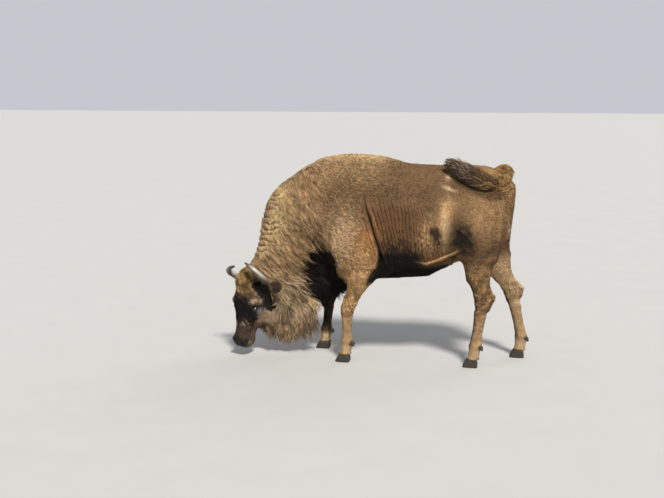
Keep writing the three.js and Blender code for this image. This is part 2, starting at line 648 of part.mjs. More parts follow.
const headSolid = beyond(beyond(region([-1240, -420, 20], [-680, 160, 800], [36, 32, 38]), nape), throat);
const eyes = [-1, 1].flatMap((s) => [eyeball(s, GAP), lidOpening(s)]);
place("head", without(behind(headSolid, noseLine), ...gear, ...eyes), coat.head);
const nose = beyond(region([-1240, -420, 20], [-880, 60, 330], [22, 20, 21]), noseLine);
place("muzzle", behind(nose, mouthLine), muzzleSkin);
place("lower_jaw", beyond(nose, mouthLine), coat.head);

for (const [flank, s] of [["left", 1], ["right", -1]]) {
  place(`eye_${flank}`, solidOf(eyeball(s)), wetEye);
  place(`horn_${flank}`, solidOf(horn(s)), hornSheath);
  place(`ear_${flank}`, solidOf(ear(s)), coat.ear);
}
place("tail", solidOf(tail()), coat.tail);
place("tail_tuft", solidOf(tuft()), coat.tuft);

// The origin is the middle of the floor under her.
const extent = new THREE.Box3().setFromObject(wisent);
const middle = extent.getCenter(new THREE.Vector3());
wisent.position.set(-middle.x, -middle.y, -extent.min.z);

export default wisent;
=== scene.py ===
import math
import bmesh
import bpy
import numpy as np
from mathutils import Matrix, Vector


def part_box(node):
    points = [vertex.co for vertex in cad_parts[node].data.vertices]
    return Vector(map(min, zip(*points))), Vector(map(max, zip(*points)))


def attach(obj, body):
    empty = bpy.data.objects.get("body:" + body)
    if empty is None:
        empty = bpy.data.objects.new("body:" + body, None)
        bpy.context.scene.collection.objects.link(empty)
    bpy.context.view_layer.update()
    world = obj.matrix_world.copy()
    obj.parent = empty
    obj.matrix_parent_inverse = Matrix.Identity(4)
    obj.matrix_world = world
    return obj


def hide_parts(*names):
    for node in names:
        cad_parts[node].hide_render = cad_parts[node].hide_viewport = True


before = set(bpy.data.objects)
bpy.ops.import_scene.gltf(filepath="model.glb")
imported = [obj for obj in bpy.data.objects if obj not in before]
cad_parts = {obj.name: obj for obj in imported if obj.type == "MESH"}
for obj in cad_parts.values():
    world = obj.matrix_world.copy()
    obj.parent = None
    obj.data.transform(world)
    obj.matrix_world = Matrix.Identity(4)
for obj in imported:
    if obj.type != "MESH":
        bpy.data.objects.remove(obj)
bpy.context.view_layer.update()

# A still, life-size wisent cow, grazing. Metres, +Z up: she faces -X and her left side is -Y.
# The solid frame gives her shape; this script adds skin, coat, eyes, horns, ears and hooves.
print("frame:", len(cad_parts), "nodes")


def unit(v):  # each vector over its length
    return v / np.maximum(np.linalg.norm(v, axis=-1, keepdims=True), 1e-9)


def ease(low, high, x):  # 0 at low, 1 at high, smooth between: 3t^2 - 2t^3
    t = np.clip((x - low) / (high - low), 0, 1)
    return t * t * (3 - 2 * t)


def mound(x, middle, half):  # bell curve exp(-((x - middle) / half)^2)
    return np.exp(-(((x - middle) / half) ** 2))


def mix(a, b, t):
    return a + (b - a) * t


def drift(points, size, seed, waves=8):  # smooth noise in -1..1: a sum of sines along random directions
    rng = np.random.default_rng(seed)
    ways = unit(rng.normal(size=(waves, 3))) * (2 * np.pi / size) * rng.uniform(0.6, 1.5, (waves, 1))
    total = np.sin(points @ ways.T + rng.uniform(0, 2 * np.pi, waves)).sum(1)
    return np.clip(total / math.sqrt(waves) / 1.3, -1, 1)


def middleOf(node):
    low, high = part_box(node)
    return (np.array(low) + np.array(high)) / 2


# Head axes, found from the eyes: side to her left, face out of the forehead, crown from muzzle to poll.
head = {"pitch": 12.0, "eyeSide": 0.104, "eyeForward": 0.002, "eyesInPart": [-0.974, -0.12, 0.382]}
eyeMid = (middleOf("eye_left") + middleOf("eye_right")) / 2
sideAxis = unit(middleOf("eye_left") - middleOf("eye_right"))
aheadAxis = np.array([sideAxis[1], -sideAxis[0], 0.0])
upAxis = np.array([0.0, 0.0, 1.0])
cosPitch, sinPitch = math.cos(math.radians(head["pitch"])), math.sin(math.radians(head["pitch"]))
faceAxis = aheadAxis * cosPitch + upAxis * sinPitch
crownAxis = upAxis * cosPitch - aheadAxis * sinPitch
headAxes = np.array([sideAxis, faceAxis, crownAxis])
eyeMid = eyeMid - faceAxis * head["eyeForward"]


def toHead(points):
    return (points - eyeMid) @ headAxes.T


def fromHead(places):
    return eyeMid + np.asarray(places, float) @ headAxes


partOrigin = eyeMid - np.array(head["eyesInPart"])  # where the part's own zero lies in the frame


def fromPart(places):  # the part's millimetres to metres in the frame
    return np.asarray(places, float) / 1000 + partOrigin


def smoothPath(knots, count, steps=600):  # Catmull-Rom through the knots, resampled at equal lengths
    k = np.vstack([2 * knots[0] - knots[1], knots, 2 * knots[-1] - knots[-2]])
    t = np.linspace(0, len(knots) - 1, steps)
    i = np.minimum(t.astype(int), len(knots) - 2)
    f = (t - i)[:, None]
    a, b, c, d = k[i], k[i + 1], k[i + 2], k[i + 3]
    line = 0.5 * (2 * b + (c - a) * f + (2 * a - 5 * b + 4 * c - d) * f**2 + (3 * b - a - 3 * c + d) * f**3)
    run = np.concatenate([[0], np.cumsum(np.linalg.norm(np.diff(line, axis=0), axis=1))])
    at = np.linspace(0, run[-1], count)
    return np.stack([np.interp(at, run, line[:, n]) for n in range(3)], 1)


tailKnots = fromPart([
    [930, -6, 1464], [990, -20, 1490], [1034, -62, 1482], [1040, -118, 1444], [1000, -172, 1406],
    [920, -204, 1402], [830, -206, 1430], [720, -186, 1478], [640, -158, 1518], [560, -122, 1550],
])
tailLine = smoothPath(tailKnots, 120)
tuftStart = 0.44  # share of the tail's length


# Meshes from arrays.
def meshOf(name, points, faces, values=None, smooth=True):
    faces = np.asarray(faces, np.int32)
    mesh = bpy.data.meshes.new(name)
    mesh.vertices.add(len(points))
    mesh.vertices.foreach_set("co", np.asarray(points, np.float32).ravel())
    mesh.loops.add(faces.size)
    mesh.loops.foreach_set("vertex_index", faces.ravel())
    mesh.polygons.add(len(faces))
    mesh.polygons.foreach_set("loop_start", np.arange(0, faces.size, faces.shape[1], dtype=np.int32))
    mesh.polygons.foreach_set("use_smooth", np.full(len(faces), smooth))
    mesh.update(calc_edges=True)
    for key, data in (values or {}).items():
        paint(mesh, key, data)
    return mesh


def paint(mesh, key, data):  # one number or one colour for each vertex
    if data.ndim == 2:
        rgba = np.ones((len(data), 4), np.float32)
        rgba[:, :3] = data
        mesh.attributes.new(key, "FLOAT_COLOR", "POINT").data.foreach_set("color", rgba.ravel())
    else:
        mesh.attributes.new(key, "FLOAT", "POINT").data.foreach_set("value", data.astype(np.float32))


def show(name, mesh, material, nodes=()):
    piece = bpy.data.objects.new(name, mesh)
    bpy.context.scene.collection.objects.link(piece)
    mesh.materials.clear()
    mesh.materials.append(material)
    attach(piece, "root")
    if nodes:
        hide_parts(*nodes)


def tubeFaces(rows, sides):  # triangles between rings, and a fan from each end's middle point
    i, j = np.meshgrid(np.arange(rows - 1), np.arange(sides), indexing="ij")
    a, b = (i * sides + j).ravel(), (i * sides + (j + 1) % sides).ravel()
    wall = np.vstack([np.stack([a, b, b + sides], 1), np.stack([a, b + sides, a + sides], 1)])
    k = np.arange(sides)
    after = (k + 1) % sides
    first, last, base = rows * sides, rows * sides + 1, (rows - 1) * sides
    starts = np.stack([np.full(sides, first), after, k], 1)
    ends = np.stack([np.full(sides, last), base + k, base + after], 1)
    return np.vstack([wall, starts, ends])


def tubePoints(rings):  # rings (rows, sides, 3), with the two end middles added
    return np.vstack([rings.reshape(-1, 3), rings[0].mean(0), rings[-1].mean(0)])


def pathFrames(line, up):  # along, across = up x along, over = along x across
    along = unit(np.gradient(line, axis=0))
    across = unit(np.cross(np.broadcast_to(up, along.shape), along))
    return along, across, np.cross(along, across)


def sweptRings(line, up, wide, deep, sides):  # ellipses of half sizes wide and deep across the line
    _, across, over = pathFrames(line, up)
    turn = np.linspace(0, 2 * np.pi, sides, endpoint=False)
    ring = across[:, None] * (wide[:, None] * np.cos(turn))[..., None]
    return line[:, None] + ring + over[:, None] * (deep[:, None] * np.sin(turn))[..., None]


def linear(*rgb):  # sRGB 0-255 to linear
    c = np.array(rgb, float) / 255
    return np.where(c > 0.04045, ((c + 0.055) / 1.055) ** 2.4, c / 12.92)


# Each leg's joints, from elbow or stifle to toe, and how far the leg reaches round that line.
legLines = {
    "fore": fromPart([
        [[10, -205, 800], [-158, -192, 405], [-158, -186, 160], [-176, -186, 0]],
        [[-150, 205, 800], [-360, 192, 420], [-384, 186, 162], [-398, 186, 0]],
    ]),
    "hind": fromPart([
        [[762, -196, 880], [868, -178, 512], [822, -172, 168], [800, -172, 0]],
        [[800, 196, 890], [1084, 178, 520], [1166, 172, 168], [1150, 172, 0]],
    ]),
}


def gapToLine(points, line):  # distance to the nearest of the line's segments
    nearest = np.full(len(points), 9.0)
    for a, b in zip(line[:-1], line[1:]):
        t = np.clip((points - a) @ (b - a) / ((b - a) @ (b - a)), 0, 1)
        nearest = np.minimum(nearest, np.linalg.norm(points - a - t[:, None] * (b - a), axis=1))
    return nearest


# Where each kind of coat grows, as weights from 0 to 1.
napeAt, napeWay = fromHead([0, -0.06, 0.165]), unit(np.array([-0.5, -0.35, -0.8]))
maneAt, maneWay = fromPart([-640, 0, 540]), unit(np.array([-0.12, 0, -1.0]))


def regionsOf(points):
    x, y, z = points.T
    side, front, crown = toHead(points).T
    onHead = ease(-0.03, 0.02, (points - napeAt) @ napeWay) * ease(-0.19, -0.14, front)
    onCrown = mound(side, 0, 0.13) * mound(crown, 0.24, 0.11) * ease(-0.1, -0.04, front) * (x < -0.75)
    onNeck = ease(-0.28, -0.46, x + 0.12 * (z - 1)) * (1 - onHead)
    onMane = onNeck * ease(-0.06, 0.1, (points - maneAt) @ maneWay)
    onMane = np.maximum(onMane, ease(-0.4, -0.47, x) * ease(0.8, 0.62, z) * (1 - onHead))
    gap = np.minimum(*[gapToLine(points, line) for line in legLines["fore"]])
    reach = np.interp(z, [0, 0.3, 0.5, 0.7, 0.85], [0.13, 0.1, 0.12, 0.19, 0.21])
    fore = ease(0.86, 0.66, z) * ease(1.15, 0.95, gap / reach)
    onMane = onMane * (1 - ease(0.55, 0.45, z) * fore)
    hind = ease(0.9, 0.72, z) * ease(0.54, 0.64, x + 0.4 * (0.85 - z))
    low = np.maximum(fore * ease(0.5, 0.22, z), hind * ease(0.56, 0.28, z))
    belly = ease(0.8, 0.72, z) * ease(-0.38, -0.3, x) * ease(0.66, 0.56, x) * (1 - fore) * (1 - hind)
    flank = ease(-0.1, 0.06, x + 0.31 * (z - 1.05)) * ease(0.66, 0.56, x) * ease(1.34, 1.2, z + 0.1 * x)
    flank = flank * ease(0.1, 0.18, np.abs(y)) * (1 - fore) * (1 - hind) * (1 - belly)
    tail = ease(0.06, 0.045, gapToLine(points, tailLine[:60:4])) * (z > 1.3)
    curly = ease(0.3, 0.0, x) * (1 - flank)
    return dict(
        neck=onNeck * (1 - onMane), mane=onMane, crown=onCrown, head=onHead * (1 - onCrown),
        fore=fore, hind=hind, low=low, belly=belly, tail=tail, flank=flank, curly=curly,
    )


# Coat of each region: depth is how far the skin lies under the coat's outer face; length and width
# are one tuft's; crowd is tufts per square metre; clump is the size of the locks they gather into, and
# gather how far; vary is how much one lock differs in tone from the next.
coatKeys = ("depth", "length", "width", "crowd", "clump", "gather", "curl", "vary")
coatPlan = {
    "trunk": (0.007, 0.026, 0.005, 34000, 0.016, 0.15, 0.0, 0.3),
    "curly": (0.01, 0.03, 0.0056, 20000, 0.014, 0.35, 0.002, 0.32),
    "flank": (0.0055, 0.02, 0.0044, 38000, 0.01, 0.05, 0.0, 0.22),
    "belly": (0.011, 0.046, 0.0054, 18000, 0.024, 0.4, 0.0, 0.25),
    "neck": (0.0135, 0.08, 0.0037, 15500, 0.026, 0.5, 0.0042, 0.24),
    "mane": (0.028, 0.16, 0.0043, 14500, 0.036, 0.76, 0.0085, 0.34),
    "fore": (0.0075, 0.025, 0.005, 32000, 0.02, 0.25, 0.0, 0.26),
    "hind": (0.0065, 0.024, 0.005, 32000, 0.02, 0.25, 0.0, 0.26),
    "low": (0.004, 0.014, 0.0038, 44000, 0.012, 0.15, 0.0, 0.2),
    "head": (0.0045, 0.015, 0.0034, 68000, 0.009, 0.1, 0.0, 0.16),
    "crown": (0.018, 0.054, 0.0048, 26000, 0.024, 0.6, 0.0055, 0.35),
    "tail": (0.01, 0.05, 0.004, 34000, 0.014, 0.3, 0.0012, 0.4),
}


def coatValue(key, regions):  # one setting of the coat, blended over the trunk's from region to region
    column = coatKeys.index(key)
    value = np.full(len(regions["neck"]), coatPlan["trunk"][column], float)
    for name in list(coatPlan)[1:]:
        value = mix(value, coatPlan[name][column], regions[name])
    return value


# The long hair of neck and mane flows down along lines that lean back by so much for each metre of height.
flowPlan = {
    "heights": [0.1, 0.3, 0.45, 0.56, 0.66, 0.85, 1.1, 1.6],
    "leans": [0.05, 0.12, 0.3, 0.75, 1.1, 0.9, 0.75, 0.55], "top": 1.7, "step": 0.005,
}
flowHeights = np.linspace(0, flowPlan["top"], round(flowPlan["top"] / flowPlan["step"]) + 1)
flowShift = np.cumsum(np.interp(flowHeights, flowPlan["heights"], flowPlan["leans"])) * flowPlan["step"]


def acrossFlow(points):  # the same all along one flow line: x + integral of the lean over z
    return points[:, 0] + np.interp(points[:, 2], flowHeights, flowShift)


def streaks(points, size, seed, upright=False):  # noise drawn out along the hair
    x, y, z = points.T
    across = x + 0.22 * z if upright else acrossFlow(points) * 0.8 + 0.01 * drift(points, 0.16, seed + 1)
    return drift(np.stack([across, 0.8 * y, 0.11 * z], 1), size, seed, 14)


def crestOf(points, normals):  # the front of the neck, where the hide lies in level folds
    x, y, z = points.T
    front = ease(-0.1, -0.45, normals[:, 0]) * ease(0.6, 0.7, z) * ease(1.44, 1.28, z)
    return front * ease(0.26, 0.12, np.abs(y + 0.03)) * (x < -0.4)


# Folds of the hide, used by skin and coat alike: fine upright pleats on the flank, level pleats on the
# crest, the crease behind the elbow with the ridge beside it, and the fold that rises to the stifle.
foldPlan = {
    "elbowHeights": [0.78, 0.84, 0.95, 1.05, 1.27, 1.34],
    "elbowPlaces": [0.066, 0.059, 0.036, 0.005, -0.066, -0.085],
    "edgeHeights": [0.6, 0.69, 0.76, 0.84, 0.9],
    "edgePlaces": [-0.075, -0.022, 0.026, 0.046, 0.052],
    "arcPlaces": [0.28, 0.338, 0.404, 0.486, 0.577, 0.66],
    "arcHeights": [0.81, 0.8, 0.788, 0.816, 0.859, 0.905],
}
foldRises = {
    "flank": 0.0036, "crest": -0.015, "crease": -0.016, "lip": 0.007,
    "arc": 0.007, "under": -0.004, "tendon": -0.011, "elbow": -0.012,
}


def behindElbow(points):  # how far behind the foreleg's rear edge
    return points[:, 0] - np.interp(points[:, 2], foldPlan["edgeHeights"], foldPlan["edgePlaces"])


# the band is painted black: black fur, and the painted shadow of ear and horn
templeLine = np.array([  # the black band from the horn's base down past the eye, in head axes
    [0.12, 0.02, 0.176], [0.148, -0.01, 0.16], [0.16, -0.036, 0.122],
    [0.168, -0.066, 0.084], [0.172, -0.092, 0.048],
])


def templeOf(points):
    side, front, crown = toHead(points).T
    gap = gapToLine(np.stack([np.abs(side), front, crown], 1), templeLine)
    return ease(0.06, 0.044, gap + 0.007 * drift(points, 0.03, 24, 14))


tendonLines = [  # the groove in front of each hock's tendon
    np.array([[0.868, -0.222, 0.7], [0.88, -0.212, 0.61], [0.89, -0.21, 0.545]]),
    np.array([[1.015, 0.12, 0.68], [1.058, 0.115, 0.59], [1.088, 0.11, 0.52]]),
]


def foldsOf(points, normals):
    x, y, z = points.T
    outward = ease(0.35, 0.75, np.abs(normals[:, 1]))
    u = x + mix(0.31, 0.08, ease(0.0, 0.3, x)) * (z - 1.05) + 0.006 * drift(points, 0.14, 11)
    phase = np.interp(u, [-0.12, 0.04, 0.16, 0.8], [0.0, 3.4, 7.6, 33.5])
    where = ease(-0.1, 0.0, u) * ease(0.61, 0.54, x) * ease(0.8, 0.86, z) * outward
    where = where * ease(1.34, 1.18, z + 0.16 * ease(0.2, 0.5, x)) * ease(-1.2, 0.2, drift(points, 0.11, 13))
    pleat = np.sin(2 * np.pi * phase)
    flankPleat = where * mix(pleat, 1 - 2 * np.abs(pleat) ** 0.8, 0.4) * mix(1.0, 0.7, ease(0.1, 0.4, x))
    level = z + 0.018 * drift(points, 0.13, 12) + 0.12 * (y + 0.1)
    turns = np.interp(level, [0.6, 0.8, 1.4], [0.0, 3.4, 16.5])
    crestPleat = crestOf(points, normals) * (0.5 + 0.5 * np.cos(2 * np.pi * turns)) ** 3
    crestPleat = crestPleat * ease(-0.9, 0.5, drift(points * [0.6, 0.6, 1.6], 0.09, 14))
    crestPleat = crestPleat * mix(1.0, 0.6, ease(0.9, 1.15, z))
    line = np.interp(z, foldPlan["elbowHeights"], foldPlan["elbowPlaces"])
    reach = ease(0.76, 0.84, z) * ease(1.34, 1.1, z) * outward
    wide = mix(0.009, 0.017, ease(1.1, 0.86, z))
    crease = mound(x, line + 0.3 * (wide - 0.009), wide) * reach
    lip = mound(x, line + 0.034, 0.011) * reach
    lip = lip + 0.8 * mound(x, line - 0.03, 0.024) * reach * ease(1.15, 0.95, z)
    arcLine = z - np.interp(x, foldPlan["arcPlaces"], foldPlan["arcHeights"])
    arcReach = ease(0.28, 0.4, x) * ease(0.7, 0.62, x) * ease(0.06, 0.14, np.abs(y))
    arc = mound(arcLine, 0, 0.009) * arcReach
    under = mound(arcLine, -0.022, 0.013) * arcReach
    tendon = sum(mound(gapToLine(points, line), 0, 0.014) for line in tendonLines) * (normals[:, 1] < -0.2)
    elbow = mound(behindElbow(points), 0.014, 0.016) * ease(0.62, 0.7, z) * ease(0.9, 0.84, z)
    elbow = elbow * (np.abs(y) > 0.12)
    return dict(
        flank=flankPleat, crest=crestPleat, crease=crease, lip=lip, arc=arc, under=under,
        tendon=tendon, elbow=elbow,
    )


# Colours of the coat, with painted light and shade laid in, painted the same on skin and tufts.
tones = {
    "body": linear(127, 98, 68), "hump": linear(180, 147, 105), "crest": linear(226, 195, 142),
    "rim": linear(176, 146, 118), "creaseShade": linear(74, 48, 34), "pale": linear(244, 212, 164),
    "flank": linear(112, 80, 50), "lowFlank": linear(60, 44, 30), "belly": linear(25, 20, 14),
    "gold": linear(218, 174, 124), "elbow": linear(190, 136, 80), "rust": linear(190, 130, 80),
    "darkHairAndShade": linear(22, 19, 15), "mane": linear(184, 158, 124), "neck": linear(172, 139, 100),
    "cheek": linear(176, 151, 119), "face": linear(10, 9, 9), "crown": linear(166, 132, 84),
    "brow": linear(190, 160, 130), "grey": linear(186, 180, 170), "muzzle": linear(74, 60, 48),
    "pink": linear(184, 146, 124), "nose": linear(30, 26, 24), "leg": linear(168, 129, 86),
    "legDark": linear(58, 43, 28), "pastern": linear(214, 184, 142), "tailBase": linear(160, 124, 76),
    "rump": linear(172, 135, 93), "shoulder": linear(214, 180, 138),
    "fringe": linear(100, 74, 54),
}


def spot(points, x, z, halfX, halfZ):  # a soft spot on both flanks
    return mound(points[:, 0], x, halfX) * mound(points[:, 2], z, halfZ)


# painted dark: dark chest hair and painted shade under the neck
hollowPlan = {  # the dark hollow between neck and foreleg: its front and back edge at each height
    "heights": [0.5, 0.61, 0.71, 0.8, 0.86, 0.92, 0.99],
    "front": [-0.5, -0.575, -0.59, -0.58, -0.545, -0.505, -0.465],
    "back": [-0.25, -0.262, -0.28, -0.285, -0.315, -0.385, -0.445],
}


smudgeAt = fromPart([-74, 0, 572])[[0, 2]]  # the dark smudge on the near forearm


def markingsAndShade(points, normals, regions):
    x, y, z = points.T
    side, front, crown = toHead(points).T
    flat = np.abs(side)
    fore, hind, low = (regions[key] for key in ("fore", "hind", "low"))
    neck, mane, flank = (regions[key] for key in ("neck", "mane", "flank"))
    onHead = np.clip(regions["head"], 0, 1)
    near = y < 0
    cloud = drift(points, 0.22, 21)
    fine = drift(points, 0.07, 22)
    speckle = drift(points, 0.03, 24, 14)
    colour = np.tile(tones["body"], (len(points), 1))

    def lay(tone, weight):
        nonlocal colour
        colour = mix(colour, tones[tone], np.clip(weight, 0, 1)[:, None])

    def at(*place):
        return spot(points, *place)

    # back and flanks
    ragged = streaks(points, 0.022, 27)
    upright = streaks(points, 0.02, 28, upright=True)
    lay("hump", ease(1.28, 1.5, z) * ease(0.22, -0.05, x) * 0.9)
    lay("hump", ease(-0.05, -0.25, x) * ease(1.3, 1.0, z) * 0.5)
    lay("rump", ease(0.6, 0.78, x) * ease(0.9, 1.1, z))
    lay("flank", flank * ease(1.3, 1.16, z) * 0.95)
    # the flank darker towards the bottom: darker hair and painted shade under the barrel
    under = z - 0.945 + 0.05 * fine + 0.05 * speckle
    lay("lowFlank", flank * ease(0.44, 0.34, x) * ease(0.05, -0.05, under))
    lay("shoulder", at(-0.22, 1.0, 0.13, 0.2) * (0.85 + 0.35 * upright))
    lay("body", at(0.41, 1.16, 0.07, 0.12) * 0.9)
    lay("gold", at(0.54, 1.1, 0.052, 0.17) * (1.15 + 0.3 * cloud + 0.2 * speckle))
    lay("pale", at(0.54, 1.07, 0.03, 0.11) * 0.75)
    lay("gold", at(0.425, 1.0, 0.085, 0.13) * (0.6 + 0.5 * speckle))
    hip = at(0.556, 1.358 - 0.25 * (x - 0.56), 0.04, 0.014) + 0.75 * at(0.545, 1.436, 0.016, 0.02)
    lay("pale", hip * 1.1)
    lay("gold", at(0.6, 1.25, 0.06, 0.05) * 0.4 + at(0.8, 1.16, 0.1, 0.08) * 0.35)
    # pale hair down the rump's rear edge, with a painted highlight along it
    rear = mound(x, 1.006 - 0.1 * (z - 1.05), 0.014) * ease(0.9, 0.96, z) * ease(1.2, 1.08, z)
    lay("pale", rear * (0.6 + 0.6 * upright))
    blotch = at(0.468, 1.035, 0.05, 0.056) + 0.55 * at(0.492, 0.945, 0.045, 0.075)
    lay("belly", ease(0.22, 0.95, blotch + 0.28 * speckle + 0.14 * fine) * 0.92)
    lay("belly", at(0.665, 0.985, 0.084, 0.116) * (1.35 + 0.45 * fine + 0.3 * speckle))
    lay("lowFlank", at(0.69, 0.88, 0.06, 0.1) * (0.8 + 0.4 * fine) * 0.9)
    # the barrel's underside: dark hair and painted shade
    lay("belly", ease(0.05, 0.09, x) * ease(0.42, 0.28, x) * ease(0.02, -0.03, z - 0.875 + 0.03 * speckle))
    lay("elbow", at(-0.05, 0.92, 0.09, 0.17) * 0.9 * (0.9 + 0.3 * speckle))
    lay("rust", at(-0.045, 1.0, 0.028, 0.06) * (0.6 + 0.4 * fine))
    lay("gold", at(-0.085, 0.86, 0.06, 0.07) * (0.7 + 0.4 * speckle))
    # neck, mane and belly
    lay("neck", neck * 0.9)
    facing = mound(normals[:, 0], -0.5, 0.24) * ease(0.66, 0.86, z) * ease(1.46, 1.3, z)
    lay("crest", neck * facing * ease(-0.45, -0.65, x) * (0.75 + 0.25 * speckle))
    lay("rim", neck * ease(-0.66, -0.9, normals[:, 0]) * ease(0.9, 1.0, z) * 0.85)
    lay("lowFlank", at(-0.47, 1.06, 0.09, 0.1) * (0.22 + 0.5 * upright + 0.3 * speckle))
    # painted highlight on the upward-facing top of withers and neck
    lay("pale", ease(0.55, 0.9, normals[:, 2]) * ease(0.15, -0.05, x) * ease(-0.75, -0.5, x) * 0.3)
    # the belly: dark hair and painted shade under it
    lay("belly", regions["belly"] * ease(0.84, 0.78, z))
    lay("mane", mane * ease(0.85, 0.65, z))
    # the mane's lower ends darker: painted shade near the ground
    lay("body", mane * ease(0.42, 0.26, z) * 0.55)
    # the hollow between neck and foreleg: dark chest hair and painted shade
    tuck = 0.014 * speckle + 0.022 * ragged
    frontEdge = np.interp(z, hollowPlan["heights"], hollowPlan["front"]) + tuck
    backEdge = np.interp(z, hollowPlan["heights"], hollowPlan["back"]) + tuck
    darkHairAndShade = ease(-0.01, 0.01, x - frontEdge) * ease(0.01, -0.01, x - backEdge)
    darkHairAndShade = darkHairAndShade * ease(1.0, 0.97, z + 0.05 * upright + 0.02 * ragged) * ease(0.4, 0.48, z)
    # legs
    legs = np.maximum(fore, hind)
    lay("leg", legs * 0.85)
    bands = drift(points * [0.5, 0.5, 2.2], 0.055, 23) + 0.4 * cloud + 0.3 * speckle
    dapple = ease(0.15, 0.85, bands + 0.35 * mound(z, 0.56, 0.1))
    lay("gold", legs * ease(0.0, 0.7, drift(points * [0.5, 0.5, 2.0], 0.06, 25)) * 0.45)
    lay("legDark", (0.18 * fore + 0.72 * hind).clip(0, 0.72) * dapple)
    # the near foreleg painted lighter: painted light on the near side only
    lay("elbow", fore * near * ease(0.42, 0.62, z) * 0.5)
    lay("gold", fore * near * ease(0.24, 0.46, z) * (0.85 + 0.3 * upright))
    lay("legDark", at(*smudgeAt, 0.024, 0.04) * fore * near * (0.75 + 0.4 * speckle))
    # the forelegs' inner faces darker: painted shade between the legs
    inner = ease(0.1, 0.5, -np.sign(y) * normals[:, 1])
    lay("legDark", fore * inner * 0.85)
    lay("pastern", low * 0.3)
    # painted light on the far hind leg
    lay("shoulder", hind * ease(0.0, 0.05, y) * ease(0.3, 0.42, z) * 0.55)
    # the hind legs' forward-facing fronts darker: dark hair and painted shade
    shin = ease(-0.45, -0.9, normals[:, 0] + 0.25 * drift(points, 0.04, 29)) * ease(0.12, 0.2, z)
    lay("legDark", hind * shin * ease(0.86, 0.7, z) * 0.8)
    # painted shade in the armpit behind the elbow
    armpit = ease(-0.008, 0.012, behindElbow(points)) * ease(0.38, 0.26, x)
    lay("belly", armpit * ease(0.6, 0.66, z) * ease(0.88, 0.85, z))
    # painted highlight along the foreleg's rear edge, in front of the crease
    rim = mound(behindElbow(points), -0.016, 0.012) * ease(0.66, 0.74, z) * ease(0.98, 0.9, z)
    lay("gold", rim * (np.abs(y) > 0.14) * 0.7)
    # painted shade on the far foreleg's inner face
    lay("darkHairAndShade", fore * inner * (y > 0) * ease(0.1, 0.16, z) * 0.85)
    # the hollow's dark hair and painted shade, kept off the near foreleg
    lay("darkHairAndShade", darkHairAndShade * (1 - 0.9 * fore * near))
    # painted shade down the far foreleg's shin
    farShin = ease(0.1, 0.14, y) * fore * ease(0.16, 0.24, z)
    lay("darkHairAndShade", farShin * ease(0.2, -0.3, normals[:, 0]) * 0.8)
    lay("pastern", mound(z, 0.115, 0.035) * 0.7)
    lay("tailBase", regions["tail"] * 0.9)
    lay("tailBase", ease(0.8, 0.95, x) * ease(1.36, 1.46, z) * 0.5)
    # the tail tuft's painted shadow on the near side of the croup
    shadow = tailLine[45:100:6] - upAxis * 0.085 + [0, -0.01, 0]
    lay("belly", ease(0.055, 0.02, gapToLine(points, shadow)) * (y < -0.08) * 0.55)
    # head
    lay("cheek", onHead)
    edge = 0.014 * fine + 0.008 * speckle
    lay("crown", onHead * ease(0.088, 0.112, crown + edge) * ease(0.02, 0.05, front) * 0.8)
    blaze = ease(0.13, 0.085, crown + edge + 0.1 * flat) * ease(-0.078, -0.045, front + 0.22 * crown + edge)
    lay("crown", regions["crown"] * 1.1)
    top = np.maximum(regions["crown"], onHead) * ease(0.0, 0.05, front)
    lay("legDark", top * mound(crown + 0.6 * edge, 0.202, 0.018) * 0.9)
    lay("fringe", top * ease(0.158, 0.118, crown + edge) * (0.85 + 0.5 * speckle))
    # the face's front: dark hair, painted darker still as painted shade
    lay("face", onHead * blaze)
    # black fur and the painted shadow of ear and horn on the temple
    lay("darkHairAndShade", templeOf(points))
    lay("legDark", at(-0.655, 0.535, 0.03, 0.028) * near * 0.9)
    # the brow: lighter hair with a painted highlight on its bump
    brow = mound(flat, 0.11, 0.036) * mound(crown, 0.06, 0.028) * ease(-0.07, -0.02, front) * onHead
    lay("brow", ease(0.16, 1.0, brow + 0.3 * drift(points, 0.016, 35)) * 0.95)
    corner = mound(flat, 0.124, 0.026) * mound(crown, -0.01, 0.026) * mound(front, -0.036, 0.028) * onHead
    lay("grey", 1.4 * corner * ease(-0.5, 0.6, drift(points, 0.01, 36)))
    lay("muzzle", onHead * ease(-0.085, -0.14, crown + edge) * 0.85)
    patches = mound(crown, -0.128, 0.026) * mound(flat, 0.048, 0.036) * ease(-0.03, 0.02, front)
    lay("pink", onHead * patches * ease(-0.1, 0.5, drift(points, 0.026, 34)) * 0.8)
    lips = mound(crown, -0.262 + 0.2 * np.minimum(front, 0), 0.016) * ease(0.03, -0.01, front)
    lay("cheek", onHead * lips * 0.55)
    nose = ease(-0.225, -0.262, crown) * ease(-0.03, 0.01, front)
    lay("nose", onHead * nose)
    # shade: clouds and streaks along the hair, and painted light and shade on the folds
    folds = foldsOf(points, normals)
    hairy = np.clip(mane + neck * (1 - facing), 0, 1)
    streak = (0.42 * streaks(points, 0.036, 26) + 0.3 * ragged) * hairy + 0.16 * ragged * onHead
    curls = speckle * np.clip(neck + 0.7 * regions["curly"] - mane, 0, 1)
    fibre = 0.1 * upright * regions["curly"] * ease(1.4, 1.15, z)
    shade = (1 + 0.1 * cloud + 0.07 * fine) * (1 + streak + fibre) * (1 + 0.15 * curls)
    # painted light and shade of the folds: lighter pleat ridges, lip and arc; darker grooves, crease, hock
    # groove and elbow
    shade *= (1 + 0.62 * folds["flank"]) * (1 - 0.85 * folds["crease"])
    shade *= (1 + 0.45 * folds["lip"]) * (1 + 2.1 * folds["arc"]) * (1 - 0.35 * folds["under"])
    shade *= (1 - 0.75 * folds["tendon"]) * (1 - 0.6 * folds["elbow"])
    # painted shade in the crest's level pleats
    lay("creaseShade", 0.95 * folds["crest"])
    return np.clip(colour * shade[:, None], 0.002, 1)


